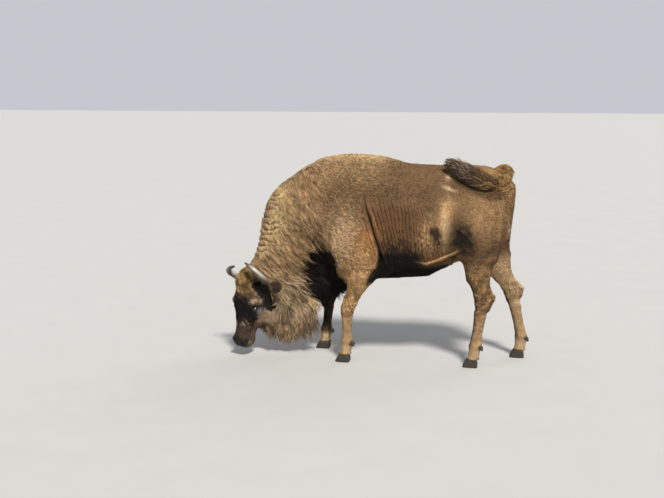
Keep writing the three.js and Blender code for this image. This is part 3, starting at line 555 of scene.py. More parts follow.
# The skin: the flesh solids, merged, swollen a little so that their gaps close, remeshed as one body,
# smoothed and drawn in by the coat's depth.
skinPlan = {
    "swell": 0.0012, "voxel": 0.0092,
    "bodyRounds": 150, "headRounds": 10, "seamRounds": 24, "legRounds": 130, "legMelt": 6, "cornerRounds": 70,
    "seams": [(-0.06, 0.76), (0.98, 0.88), (1.02, 0.885)],
    "legSeams": [
        (-0.18, 0.37), (-0.38, 0.37), (-0.12, 0.68), (-0.3, 0.68), (0.86, 0.45), (1.1, 0.45), (0.85, 0.63),
    ],
    "corners": [(-0.8, 1.29), (-0.43, 1.54), (-0.62, 1.45)],
}
fleshNodes = ["trunk", "neck", "throat_mane", "head", "muzzle", "lower_jaw", "tail"]
fleshNodes += [f"{end}leg_{flank}_{part}" for end in ("fore", "hind")
               for flank in ("left", "right") for part in ("upper", "lower")]


def fleshMesh():
    whole = bmesh.new()
    for name in fleshNodes:
        one = bmesh.new()
        one.from_mesh(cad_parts[name].data)
        bmesh.ops.remove_doubles(one, verts=one.verts, dist=1e-5)
        mesh = bpy.data.meshes.new(name + "Copy")
        one.to_mesh(mesh)
        one.free()
        setPoints(mesh, pointsOf(mesh) + normalsOf(mesh) * skinPlan["swell"])
        whole.from_mesh(mesh)
        bpy.data.meshes.remove(mesh)
    joined = bpy.data.meshes.new("flesh")
    whole.to_mesh(joined)
    whole.free()
    return joined


def rowsOf(items, key, width, kind):  # one row of numbers for each of a mesh's items
    flat = np.empty(len(items) * width, kind)
    items.foreach_get(key, flat)
    return flat.reshape(-1, width)


def pointsOf(mesh):
    return rowsOf(mesh.vertices, "co", 3, np.float32).astype(float)


def normalsOf(mesh):
    return rowsOf(mesh.vertex_normals, "vector", 3, np.float32).astype(float)


def edgesOf(mesh):
    return rowsOf(mesh.edges, "vertices", 2, np.int32)


def trianglesOf(mesh):
    mesh.calc_loop_triangles()
    return rowsOf(mesh.loop_triangles, "vertices", 3, np.int32)


def setPoints(mesh, points):
    mesh.vertices.foreach_set("co", points.astype(np.float32).ravel())
    mesh.update()


def drawnIn(points, edges, weight, steps):  # each step draws a point towards its neighbours' mean
    a, b = edges.T
    count = len(points)
    share = 1 / np.maximum(np.bincount(a, minlength=count) + np.bincount(b, minlength=count), 1)
    for step in steps:
        total = np.stack([np.bincount(a, points[b, n], count) + np.bincount(b, points[a, n], count)
                          for n in range(3)], 1)
        points = points + (weight * step)[:, None] * (total * share[:, None] - points)
    return points


def smoothed(points, edges, weight, rounds):
    # Taubin: a step in, then a slightly longer step back, so that small facets melt and large forms
    # keep their size
    give = 0.6
    return drawnIn(points, edges, weight, [give, -give * 1.03] * rounds)


def melted(points, edges, weight, rounds):  # no step back: seams and corners lose their edge
    return drawnIn(points, edges, np.clip(weight, 0, 1), [0.5] * rounds)


def remeshed(mesh, voxel):
    body = bpy.data.objects.new("remeshing", mesh)
    bpy.context.scene.collection.objects.link(body)
    change = body.modifiers.new("voxels", "REMESH")
    change.mode, change.voxel_size = "VOXEL", voxel
    whole = bpy.data.meshes.new_from_object(body.evaluated_get(bpy.context.evaluated_depsgraph_get()))
    bpy.data.objects.remove(body)
    return whole


def refine(mesh, chosen):  # splits every edge whose two ends are chosen
    fine = bmesh.new()
    fine.from_mesh(mesh)
    fine.edges.ensure_lookup_table()
    ends = edgesOf(mesh)
    picked = np.nonzero(chosen[ends[:, 0]] & chosen[ends[:, 1]])[0]
    bmesh.ops.subdivide_edges(fine, edges=[fine.edges[k] for k in picked], cuts=1, use_grid_fill=True)
    bmesh.ops.triangulate(fine, faces=[f for f in fine.faces if len(f.verts) > 4])
    fine.to_mesh(mesh)
    fine.free()
    mesh.update()


# The head's own forms, in head axes: where (side, front, crown), reach, and how far they rise.
headForms = [
    ((0.098, 0.02, 0.05), (0.04, 0.04, 0.022), 0.009),  # brow
    ((0.128, -0.05, 0.06), (0.04, 0.045, 0.04), -0.01),  # temple
    ((0.1, 0.01, -0.05), (0.03, 0.03, 0.022), -0.006),  # under the eye
    ((0.078, -0.012, -0.095), (0.03, 0.03, 0.06), 0.004),  # cheek bone
    ((0.06, -0.05, -0.15), (0.03, 0.025, 0.05), -0.006),  # hollow of the cheek
    ((0.0, 0.09, 0.02), (0.045, 0.06, 0.06), -0.004),  # forehead dish
    ((0.046, 0.034, -0.262), (0.026, 0.03, 0.022), 0.006),  # nostril wing
    ((0.044, 0.03, -0.288), (0.013, 0.016, 0.011), -0.014),  # nostril
    ((0.0, 0.048, -0.29), (0.005, 0.04, 0.026), -0.004),  # groove of the lip
]
eyePlan = {
    "radius": 0.019, "look": (1.0, 0.5, 0.02), "wide": 0.9, "tall": 0.54, "thick": 0.0026, "rings": 48,
}


def eyeFrame(flank):  # centre, the way it looks, along the lids, and up across them
    centre = fromHead([flank * head["eyeSide"], head["eyeForward"], 0])
    look = unit(np.array([flank, *eyePlan["look"][1:]])) @ headAxes
    along = unit(np.cross(crownAxis, look)) * flank
    return centre, look, along, np.cross(look, along) * flank


def eyeGap(points):  # distance to the nearer eye's centre
    return np.minimum(*[np.linalg.norm(points - eyeFrame(flank)[0], axis=1) for flank in (1, -1)])


def sculptHead(points, normals):
    where = toHead(points)
    for at, reach, rise in headForms:
        away = (np.stack([np.abs(where[:, 0]), where[:, 1], where[:, 2]], 1) - at) / reach
        points = points + normals * (rise * np.exp(-(away**2).sum(1)))[:, None]
    side, front, crown = where.T
    mouth = mound(front + 0.064 + 0.06 * (crown + 0.24), 0, 0.006) * ease(-0.165, -0.19, crown)
    points = points - normals * (0.006 * mouth * (np.abs(side) < 0.12) * (crown > -0.33))[:, None]
    for flank in (1, -1):
        centre, look, _, _ = eyeFrame(flank)
        away = points - centre
        reach = np.linalg.norm(away, axis=1)
        angle = np.arccos(np.clip((away @ look) / reach, -1, 1))
        goal = np.interp(angle, [0, 0.6, 0.95, 1.35, 1.8], [0.015, 0.0165, 0.0205, 0.0235, 0.03])
        hold = ease(1.9, 1.3, angle) * ease(0.046, 0.032, reach)
        points = centre + away * mix(1, goal / reach, hold)[:, None]
    return points


# The body's own forms, the same on both flanks: where (x, z), reach, and how far they rise.
bodyForms = [
    ((-0.13, 1.24), (0.07, 0.15), 0.006),  # shoulder blade
    ((-0.07, 0.93), (0.08, 0.11), 0.009),  # upper arm
    ((-0.23, 0.96), (0.045, 0.11), -0.006),  # in front of it
    ((0.06, 1.26), (0.06, 0.11), -0.007),  # hollow behind the shoulder
    ((0.565, 1.365), (0.04, 0.026), 0.009),  # hook of the hip
    ((0.455, 1.3), (0.085, 0.075), -0.009),  # hollow before the hip
    ((0.54, 1.11), (0.045, 0.14), 0.009),  # ridge down to the flank
    ((0.66, 0.99), (0.06, 0.09), -0.011),  # hollow of the stifle fold
    ((0.8, 1.15), (0.11, 0.11), 0.007),  # thigh
    ((1.01, 1.3), (0.04, 0.04), 0.006),  # pin bone
    ((0.79, 0.86), (0.06, 0.08), 0.006),  # stifle
]


def sculptBody(points, normals):
    side = ease(0.25, 0.65, np.abs(normals[:, 1]))
    rise = sum(rise * spot(points, *at, *reach) for at, reach, rise in bodyForms) * side
    x, _, z = points.T
    tuck = ease(0.86, 1.04, x) * ease(1.34, 0.97, z) * ease(0.86, 0.93, z) * 0.026  # the rump draws in below
    return points + normals * rise[:, None] - np.outer(tuck, [1, 0, 0])


def makeSkinMesh():
    mesh = remeshed(fleshMesh(), skinPlan["voxel"])
    points = pointsOf(mesh)
    regions = regionsOf(points)
    small = np.clip(regions["head"] + regions["crown"] + regions["low"] + regions["tail"], 0, 1)
    some = np.clip(regions["fore"] + regions["hind"], 0, 1) * ease(0.74, 0.6, points[:, 2])
    edges = edgesOf(mesh)
    points = smoothed(points, edges, mix(mix(1.0, 0.75, some), 0.55, small), skinPlan["headRounds"])
    legs = regions["low"] * (1 - regions["head"])
    broad = np.clip(mix(1.0, 0.45, some) - small + 0.5 * legs, 0, 1)
    points = smoothed(points, edges, broad, skinPlan["bodyRounds"])
    seams = sum(spot(points, *place, 0.12, 0.05) for place in skinPlan["seams"])
    points = melted(points, edges, seams, skinPlan["seamRounds"])
    seams = sum(spot(points, *place, 0.12, 0.06) for place in skinPlan["legSeams"])
    points = smoothed(points, edges, np.clip(seams, 0, 1), skinPlan["legRounds"])
    points = melted(points, edges, seams, skinPlan["legMelt"])
    bends = sum(spot(points, *place, 0.11, 0.09) for place in skinPlan["corners"])
    points = melted(points, edges, bends, skinPlan["cornerRounds"])
    setPoints(mesh, points)
    regions = regionsOf(points)
    bare = regions["head"] * ease(-0.2, -0.25, toHead(points)[:, 2])
    normals = normalsOf(mesh)
    depth = coatValue("depth", regions) * (1 - 0.8 * bare) - 0.007 * crestOf(points, normals)
    setPoints(mesh, sculptBody(points - normals * depth[:, None], normals))
    refine(mesh, (regions["flank"] > 0.3) & (points[:, 2] > 0.76))
    points = pointsOf(mesh)
    refine(mesh, np.linalg.norm(toHead(points) * [1, 1, 0.75] - [0, -0.01, -0.03], axis=1) < 0.21)
    near = toHead(pointsOf(mesh))
    onEye = np.linalg.norm(np.abs(near) - [head["eyeSide"], 0, 0], axis=1) < 0.045
    refine(mesh, onEye | ((near[:, 2] < -0.235) & (np.abs(near[:, 0]) < 0.09) & (near[:, 1] > -0.04)))
    points, edges = pointsOf(mesh), edgesOf(mesh)
    onHead = regionsOf(points)["head"]
    setPoints(mesh, smoothed(points, edges, onHead, 6))
    points = sculptHead(pointsOf(mesh), normalsOf(mesh))
    setPoints(mesh, smoothed(points, edges, onHead * 0.6, 1))
    points, normals = pointsOf(mesh), normalsOf(mesh)
    folds = foldsOf(points, normals)
    setPoints(mesh, points + normals * sum(rise * folds[key] for key, rise in foldRises.items())[:, None])
    mesh.polygons.foreach_set("use_smooth", np.ones(len(mesh.polygons), bool))
    return mesh


skinMesh = makeSkinMesh()
print("skin:", len(skinMesh.polygons), "faces")


# Shader maths: a socket that adds a Math node for each sum it is used in.
class Link:
    def __init__(self, finish, socket):
        self.finish, self.socket = finish, socket


def maths(operation, turned=False):
    def apply(link, other):
        first, second = (other, link) if turned else (link, other)
        return link.finish.node("ShaderNodeMath", {"operation": operation}, {0: first, 1: second})

    return apply


for sign, operation in {"add": "ADD", "sub": "SUBTRACT", "mul": "MULTIPLY"}.items():
    setattr(Link, f"__{sign}__", maths(operation))
    setattr(Link, f"__r{sign}__", maths(operation, turned=True))


class Finish:  # one material and the nodes it is made of
    def __init__(self, name, **constants):
        self.material = bpy.data.materials.new(name)
        self.material.use_nodes = True
        self.tree = self.material.node_tree
        self.surface = next(n for n in self.tree.nodes if n.type == "BSDF_PRINCIPLED")
        for key, value in constants.items():
            self.surface.inputs[key.replace("_", " ")].default_value = value

    def node(self, kind, settings=None, inputs=None, output=0):
        made = self.tree.nodes.new(kind)
        for key, value in (settings or {}).items():
            if key == "stops":
                self.setStops(made.color_ramp, value)
            else:
                setattr(made, key, value)
        for key, value in (inputs or {}).items():
            self.feed(made.inputs[key], value)
        return Link(self, made.outputs[output])

    def setStops(self, ramp, stops):
        while len(ramp.elements) < len(stops):
            ramp.elements.new(1.0)
        for element, (place, colour) in zip(ramp.elements, stops):
            element.position, element.color = place, (*colour, 1.0)

    def feed(self, socket, value):
        if isinstance(value, Link):
            self.tree.links.new(value.socket, socket)
        elif hasattr(socket.default_value, "__len__") and not hasattr(value, "__len__"):
            socket.default_value = [value] * len(socket.default_value)
        elif hasattr(value, "__len__") and len(value) == 3 and len(socket.default_value) == 4:
            socket.default_value = (*value, 1.0)
        else:
            socket.default_value = value

    def place(self):  # object coordinates, in metres
        return self.node("ShaderNodeTexCoord", output="Object")

    def noise(self, scale, detail=3.0, stretch=(1, 1, 1), warp=0.0):
        at = self.node("ShaderNodeMapping", {}, {"Vector": self.place(), "Scale": stretch})
        sizes = {"Vector": at, "Scale": scale, "Detail": detail, "Distortion": warp}
        return self.node("ShaderNodeTexNoise", {}, sizes, "Fac")

    def value(self, key):  # a number painted on the mesh
        return self.node("ShaderNodeAttribute", {"attribute_name": key}, output="Fac")

    def tint(self, key="tint"):  # a colour painted on the mesh
        return self.node("ShaderNodeAttribute", {"attribute_name": key}, output="Color")

    def between(self, factor, a, b):
        return self.node("ShaderNodeMix", {"data_type": "RGBA"}, {0: factor, 6: a, 7: b}, 2)

    def times(self, colour, factor):  # a colour made lighter or darker
        return self.node("ShaderNodeVectorMath", {"operation": "SCALE"}, {0: colour, "Scale": factor})

    def span(self, value, low, high):  # 0..1 to low..high
        return value * (high - low) + low

    def steps(self, value, stops):
        return self.node("ShaderNodeValToRGB", {"stops": stops}, {"Fac": value}, "Color")

    def bump(self, height, strength, distance):
        inputs = {"Height": height, "Strength": strength, "Distance": distance}
        return self.node("ShaderNodeBump", {}, inputs, "Normal")

    def set(self, **sockets):
        for key, value in sockets.items():
            self.feed(self.surface.inputs[key.replace("_", " ")], value)
        return self.material


def skinFinish():
    finish = Finish("undercoat", Specular_IOR_Level=0.2)
    bare = finish.value("bare")  # 1 on the nose's leather, 0 under hair
    strands = finish.noise(150, 4, (1, 1, 0.35), 0.4)
    grain = finish.noise(420, 2)
    tint = finish.times(finish.tint(), finish.span(strands, 0.45, 1.05))
    pits = finish.node("ShaderNodeTexVoronoi", {}, {"Vector": finish.place(), "Scale": 260.0}, "Distance")
    leather = finish.times(finish.tint(), finish.span(pits, 0.75, 1.15))
    height = strands * (1 - bare) + pits * bare * 0.7 + grain * 0.2
    return finish.set(
        Base_Color=finish.between(bare, tint, leather),
        Roughness=0.85 - bare * 0.42,
        Normal=finish.bump(height, 0.7, 0.004),
    )


def coatFinish(name, rootShade=0.5, tipShade=1.12, rough=0.78):
    finish = Finish(name, Specular_IOR_Level=0.22)
    along = finish.value("along")
    streak = finish.noise(90, 3, (1, 1, 0.5))
    phase = finish.value("strand") * 26 + streak * 6
    waves = finish.node("ShaderNodeMath", {"operation": "SINE"}, {0: phase})
    hairs = waves * 0.5 + 0.5  # fine hairs side by side on each blade
    shade = finish.span(along, rootShade, tipShade) * finish.span(streak, 0.82, 1.18)
    shade = shade * finish.span(hairs, 0.72, 1.2)
    return finish.set(
        Base_Color=finish.times(finish.tint(), shade),
        Roughness=finish.span(streak, rough - 0.08, rough + 0.08),
        Normal=finish.bump(hairs, 0.5, 0.0012),
    )


skinPoints, skinNormals = pointsOf(skinMesh), normalsOf(skinMesh)
skinRegions = regionsOf(skinPoints)
skinTint = markingsAndShade(skinPoints, skinNormals, skinRegions)
skinHead = toHead(skinPoints)
noseBare = skinRegions["head"] * ease(-0.238, -0.262, skinHead[:, 2]) * ease(-0.055, -0.02, skinHead[:, 1])
# the skin painted darker than the coat: darker underfur and painted shade in the gaps between tufts
paint(skinMesh, "tint", skinTint * 0.8)
paint(skinMesh, "bare", noseBare)
show("skin", skinMesh, skinFinish(), fleshNodes)


# The lie of the coat: from head to tail and down, drawn onto the surface.
def lieOf(points, normals, regions):
    side = toHead(points)[:, 0]
    way = np.tile([1.0, 0.0, -0.55], (len(points), 1))
    ways = {
        "flank": [0.3, 0, -1.0], "belly": [1.0, 0, -0.15],
        "fore": [0.16, 0, -1.0], "hind": [0.3, 0, -1.0], "low": [0.05, 0, -1.0],
    }
    for name, aim in ways.items():
        way = mix(way, unit(np.array(aim)), regions[name][:, None])
    lean = np.interp(points[:, 2], flowPlan["heights"], flowPlan["leans"])
    flow = unit(np.stack([lean, 0 * lean, -np.ones_like(lean)], 1))
    way = mix(way, flow, np.clip(regions["neck"] + regions["mane"], 0, 1)[:, None])
    aside = np.sign(side)[:, None] * ease(0.02, 0.1, np.abs(side))[:, None]
    down = unit(-crownAxis + sideAxis * 0.35 * aside)
    way = mix(way, down, regions["head"][:, None])
    spread = unit(faceAxis * 0.8 - crownAxis * 0.9 + sideAxis * (side / 0.1)[:, None])
    way = mix(way, spread, regions["crown"][:, None])
    onTail = regions["tail"] > 0
    follow = np.zeros_like(points)
    nearest = np.linalg.norm(points[onTail][:, None] - tailLine[None, :60:4], axis=2).argmin(1)
    follow[onTail] = unit(np.gradient(tailLine, axis=0))[::4][nearest]
    way = mix(way, follow, regions["tail"][:, None])
    wander = np.stack([drift(points, 0.1, 31 + n) for n in range(3)], 1)
    loose = mix(0.1, 0.6, np.clip(regions["crown"] + 0.5 * regions["curly"] - regions["neck"], 0, 1))
    way = unit(way) + wander * (loose + 0.12 * regions["neck"])[:, None]
    hang = np.clip(-normals[:, 2], 0, 1) * regions["mane"]
    way = way - normals * ((way * normals).sum(1) * (1 - hang))[:, None]
    lost = np.linalg.norm(way, axis=1) < 0.15  # the way stood straight off the skin: hang down instead
    way[lost] = (normals * normals[:, 2:3] - upAxis)[lost]
    return unit(way)


def scatter(points, normals, triangles, crowd, rng):  # random places on triangles, crowd to the square metre
    a, b, c = points[triangles[:, 0]], points[triangles[:, 1]], points[triangles[:, 2]]
    area = np.linalg.norm(np.cross(b - a, c - a), axis=1) / 2
    expected = area * crowd[triangles].mean(1)
    count = np.floor(expected + rng.random(len(area))).astype(int)
    which = np.repeat(np.arange(len(area)), count)
    u, v = rng.random(len(which)), rng.random(len(which))
    over = u + v > 1
    u[over], v[over] = 1 - u[over], 1 - v[over]
    w = np.stack([1 - u - v, u, v], 1)[..., None]
    corners = triangles[which]
    return (points[corners] * w).sum(1), unit((normals[corners] * w).sum(1))


def tuftFaces(rings):  # a three-sided blade: rings of three corners, a point at the tip, closed at the root
    faces = [[0, 2, 1]]
    for k in range(rings - 1):
        for n in range(3):
            a, b = 3 * k + n, 3 * k + (n + 1) % 3
            faces += [[a, b, b + 3], [a, b + 3, a + 3]]
    top = 3 * (rings - 1)
    faces += [[top + n, top + (n + 1) % 3, 3 * rings] for n in range(3)]
    return np.array(faces)


bladeCorners = np.array([[-1.0, -0.3], [1.0, -0.3], [0.0, 0.55]])  # across and up, in half widths
bladePlan = {"rootShade": 0.35, "patch": 0.003, "sunk": 0.0015}


def tuftMesh(name, centres, up, width, tint, spots):
    # centres (tufts, rings + 1, 3) is each blade's middle line; its width swells and then tapers to the tip
    count, rings = centres.shape[0], centres.shape[1] - 1
    t = np.linspace(0, 1, rings + 1)
    along = unit(np.gradient(centres, axis=1))
    across = unit(np.cross(along, up[:, None]))
    over = np.cross(across, along)
    half = width[:, None] / 2 * ((0.7 + 0.9 * t + 0.3 * (rings == 1)) * (1 - t**2.2))[None]
    shape = across[:, :rings, None] * bladeCorners[:, :1]
    shape = shape + over[:, :rings, None] * bladeCorners[:, 1:]
    blade = centres[:, :rings, None] + shape * half[:, :rings, None, None]
    points = np.concatenate([blade.reshape(count, -1, 3), centres[:, -1:]], axis=1)
    each = 3 * rings + 1
    faces = (tuftFaces(rings)[None] + (np.arange(count) * each)[:, None, None]).reshape(-1, 3)
    step = np.append(np.repeat(t[:rings], 3), 1.0)
    shadeStep = np.maximum(step, bladePlan["rootShade"]) if rings == 1 else step  # widest at its root
    edge = np.append(np.tile([0.0, 1.0, 0.5], rings), 0.5)
    strand = edge + 2.4 * np.modf(np.arange(count) * 0.618)[0][:, None]  # each blade's own phase
    values = dict(along=np.tile(shadeStep, count), strand=strand.ravel(), tint=np.repeat(tint, each, axis=0))
    mesh = meshOf(name, points.reshape(-1, 3), faces, values)
    patch = np.stack([edge - 0.5, step - 0.5], 1) * bladePlan["patch"]
    uv = (spots[:, None] + patch[None]).reshape(-1, 2)[faces.ravel()]
    mesh.uv_layers.new(name="OFBake").data.foreach_set("uv", uv.astype(np.float32).ravel())
    return mesh


def unrolled(points, start, end, columns=1, column=0):
    # the skin unrolled round a line: the angle about it, squeezed into a column, and the way along it
    axis = unit(end - start)
    aside = unit(np.cross(axis, [0.0, 1.0, 0.02]))
    away = points - start
    angle = np.arctan2(away @ np.cross(axis, aside), away @ aside) / (2 * np.pi) + 0.5
    run = (away @ axis) / np.linalg.norm(end - start)
    return np.stack([(column + 0.02 + 0.96 * angle) / columns, np.clip(0.02 + 0.96 * run, 0.01, 0.99)], 1)


def locksOf(roots, plan):  # which lock each tuft belongs to: cells across the hair's flow, bent by noise
    size = plan["clump"]
    bend = np.stack([drift(roots, 0.06, 61 + n) for n in range(3)], 1) * (0.5 * size)[:, None]
    x, y, z = (roots + bend).T
    along = x * 0.8 + 0.6 * y + np.interp(z, flowHeights, flowShift)
    cells = np.stack([along, y * 0.8 - 0.6 * x, 0.45 * z], 1)
    return np.unique(np.floor(cells / size[:, None]), axis=0, return_inverse=True)[1].ravel()


def lockMiddle(roots, lock):
    members = np.bincount(lock)
    return np.stack([np.bincount(lock, roots[:, n]) / members for n in range(3)], 1)[lock]


def centreLines(roots, normals, lie, plan, rings, rng):
    # each line leaves the skin, bends over and lies along it; its tip is drawn to the middle of its lock
    count = len(roots)
    t = np.linspace(0, 1, rings + 1)[None, :, None]
    lock = locksOf(roots, plan)
    pull = lockMiddle(roots, lock) - roots
    jitter = rng.random((lock.max() + 1, 3))[lock]
    pull = pull - normals * (pull * normals).sum(1)[:, None]
    across = np.cross(normals, lie)
    turn = rng.normal(0, 0.12, (count, 1)) + 0.3 * (jitter[:, :1] - 0.5) * plan["gather"][:, None]
    way = unit(lie + across * turn)
    uneven = mix(1.0, 0.55 + 0.9 * jitter[:, 1], plan["gather"])
    length = (plan["length"] * uneven * rng.uniform(0.7, 1.25, count))[:, None, None]
    lift = (plan["depth"] * rng.uniform(0.6, 1.0, count))[:, None, None]
    swing = 2 * np.pi * (jitter[:, :1, None] + rng.uniform(0, 0.12, (count, 1, 1)) + t * 1.15)
    curl = plan["curl"][:, None, None] * np.sqrt(t)
    line = roots[:, None] - normals[:, None] * bladePlan["sunk"] + way[:, None] * length * t
    line = line + normals[:, None] * (lift * 2.56 * t * (1.25 - t))  # 2.56 makes the arch's top just lift
    line = line + pull[:, None] * plan["gather"][:, None, None] * t
    line = line + across[:, None] * curl * np.sin(swing) + normals[:, None] * curl * 0.5 * np.cos(swing)
    return line, jitter[:, 2]


rng = np.random.default_rng(7)
skinTriangles = trianglesOf(skinMesh)
bareSkin = np.clip(noseBare * 1.4, 0, 1)
crowd = coatValue("crowd", skinRegions) * (1 - bareSkin) * ease(0.026, 0.03, eyeGap(skinPoints))
crowd = crowd * ease(0.052, 0.064, skinPoints[:, 2])
roots, rootNormals = scatter(skinPoints, skinNormals, skinTriangles, crowd, rng)
rootRegions = regionsOf(roots)
rootLie = lieOf(roots, rootNormals, rootRegions)
rootTint = markingsAndShade(roots, rootNormals, rootRegions)
rootPlan = {key: coatValue(key, rootRegions) for key in coatKeys if key != "crowd"}
onCrest = crestOf(roots, rootNormals)
for key, share in {"length": 0.25, "depth": 0.45, "vary": 0.6, "gather": 0.2, "width": 0.85}.items():
    rootPlan[key] *= mix(1.0, share, onCrest)
longer = rootRegions["neck"] * ease(1.05, 0.75, roots[:, 2]) * (1 - onCrest)
rootPlan["length"] *= 1 + 0.5 * longer
rootPlan["depth"] *= 1 + 0.5 * rootRegions["crown"] * ease(0.21, 0.17, toHead(roots)[:, 2])
for share in (0.35, 0.7, 1.05):  # hair that would hang over the temple is kept short
    reached = roots + rootLie * (rootPlan["length"] * share)[:, None]
    rootPlan["length"] *= mix(1.0, 0.45, np.maximum(templeOf(roots), templeOf(reached)))
under = np.clip(-rootNormals[:, 2], 0, 1) * rootRegions["mane"]
rootPlan["length"] *= 1 - 0.5 * under
fringed = rootRegions["fore"] * ease(-0.15, -0.65, rootNormals[:, 0]) * ease(0.47, 0.6, roots[:, 2])
fringed *= ease(-0.04, -0.1, roots[:, 0])  # longer hair down the front of the forearms
rootPlan["length"] *= 1 + 1.1 * fringed
rootPlan["depth"] *= 1 + 2.0 * fringed
besideHorn = rootRegions["crown"] * ease(0.06, 0.1, np.abs(toHead(roots)[:, 0]))
rootPlan["length"] *= mix(1.0, 0.55, besideHorn)
rootPlan["length"] *= mix(0.5, 1.0, ease(0.03, 0.06, eyeGap(roots)))
print("coat:", len(roots), "tufts")

# Which piece each tuft goes to: region first, then flank.
left = roots[:, 1] < 0
isCrown = rootRegions["crown"] > 0.4
isHead = (rootRegions["head"] > 0.5) & ~isCrown
isMane = ~isHead & ~isCrown & (rootRegions["mane"] > 0.5)
isLeg = ~isHead & ~isMane & (np.maximum(rootRegions["fore"], rootRegions["hind"]) > 0.5)
isNeck = ~(isHead | isCrown | isMane | isLeg) & (rootRegions["neck"] > 0.4)
isCrest = isNeck & (rootNormals[:, 0] < -0.5)
isTail = rootRegions["tail"] > 0.5
isRest = ~(isHead | isCrown | isMane | isNeck | isTail | isLeg)
isCurly = isRest & (rootRegions["curly"] > 0.4)
isBack = isRest & ~isCurly & (roots[:, 0] > 0.45)
isBarrel = isRest & ~isCurly & ~isBack
headLine = [fromHead([0, -0.05, crown]) for crown in (-0.3, 0.34)]
neckLine, throatLine = ([-1.0, 0, 0.55], [-0.25, 0, 1.3]), ([-0.7, 0, 0.8], [-0.7, 0, 0.15])
trunkLine, rumpLine = ([-0.45, 0, 1.1], [0.5, 0, 1.1]), ([0.4, 0, 1.1], [1.08, 0, 1.1])
tailRun = ([0.9, -0.11, 1.35], [0.9, -0.11, 1.55])
pieceRows = [  # name, its tufts, slot, rings to a tuft, the line it is unrolled round, cut in left and right
    ("faceCoat", isHead, "face_coat", 1, headLine, False),
    ("crownCurls", isCrown, "mane_hair", 4, headLine, False),
    ("crestWool", isCrest, "neck_wool", 2, neckLine, False),
    ("neckWool", isNeck & ~isCrest, "neck_wool", 3, neckLine, True),
    ("throatMane", isMane, "mane_hair", 4, throatLine, False),
    ("shoulderWool", isCurly, "body_coat", 2, trunkLine, True),
    ("barrelCoat", isBarrel, "body_coat", 1, trunkLine, True),
    ("rumpCoat", isBack, "body_coat", 1, rumpLine, True),
    ("foreLegCoat", isLeg & (roots[:, 0] < 0.4), "leg_coat", 1, None, False),
    ("hindLegCoat", isLeg & (roots[:, 0] > 0.4), "leg_coat", 1, None, False),
    ("tailCoat", isTail, "tail_coat", 3, tailRun, False),
]


def spotsFor(line, places):
    if line is not None:
        return unrolled(places, *np.array(line, float))
    spots = np.zeros((len(places), 2))
    end = "fore" if places[:, 0].mean() < 0.4 else "hind"
    for column, flank in enumerate(("left", "right")):  # two legs, a column each
        own = (places[:, 1] < 0) == (flank == "left")
        base = middleOf(f"{end}leg_{flank}_lower") * [1, 1, 0]
        spots[own] = unrolled(places[own], base, base + [0, 0, 0.85], 2, column)
    return spots


toneRng = np.random.default_rng(8)


def growCoat(name, on, rings, line):
    plan = {key: value[on] for key, value in rootPlan.items()}
    count = int(on.sum())
    lines, lock = centreLines(roots[on], rootNormals[on], rootLie[on], plan, rings, rng)
    tone = 1 + plan["vary"] * (1.7 * lock - 0.85 + 0.35 * toneRng.normal(size=count).clip(-1.6, 1.6))
    width = plan["width"] * toneRng.uniform(0.75, 1.3, count)
    tint = np.clip(rootTint[on] * tone.clip(0.45, 1.7)[:, None], 0.002, 1)
    mesh = tuftMesh(name, lines, rootNormals[on], width, tint, spotsFor(line, roots[on]))
    show(name, mesh, coatFinish(name))
    print(name, count, "tufts,", len(mesh.polygons), "triangles")


for name, on, slot, rings, line, halved in pieceRows:
    if halved:
        growCoat(name + "Left", on & left, rings, line)
        growCoat(name + "Right", on & ~left, rings, line)
    else:
        growCoat(name, on, rings, line)

# The tail's tuft: a dark core, and long locks that run along it at its own radius.
tuftPlan = {"locks": 4000, "joints": 6, "length": 0.32, "width": 0.006}


def tuftRadii(t):  # half sizes across and over the tail's line, t from the tuft's start to its tip
    full = np.sin(np.pi * mix(0.16, 0.91, t**0.85)) ** 0.8
    thin = ease(1.0, 0.72, t)
    return (4 + 12 * thin + 34 * full) / 1000, (4 + 10 * thin + 64 * full) / 1000


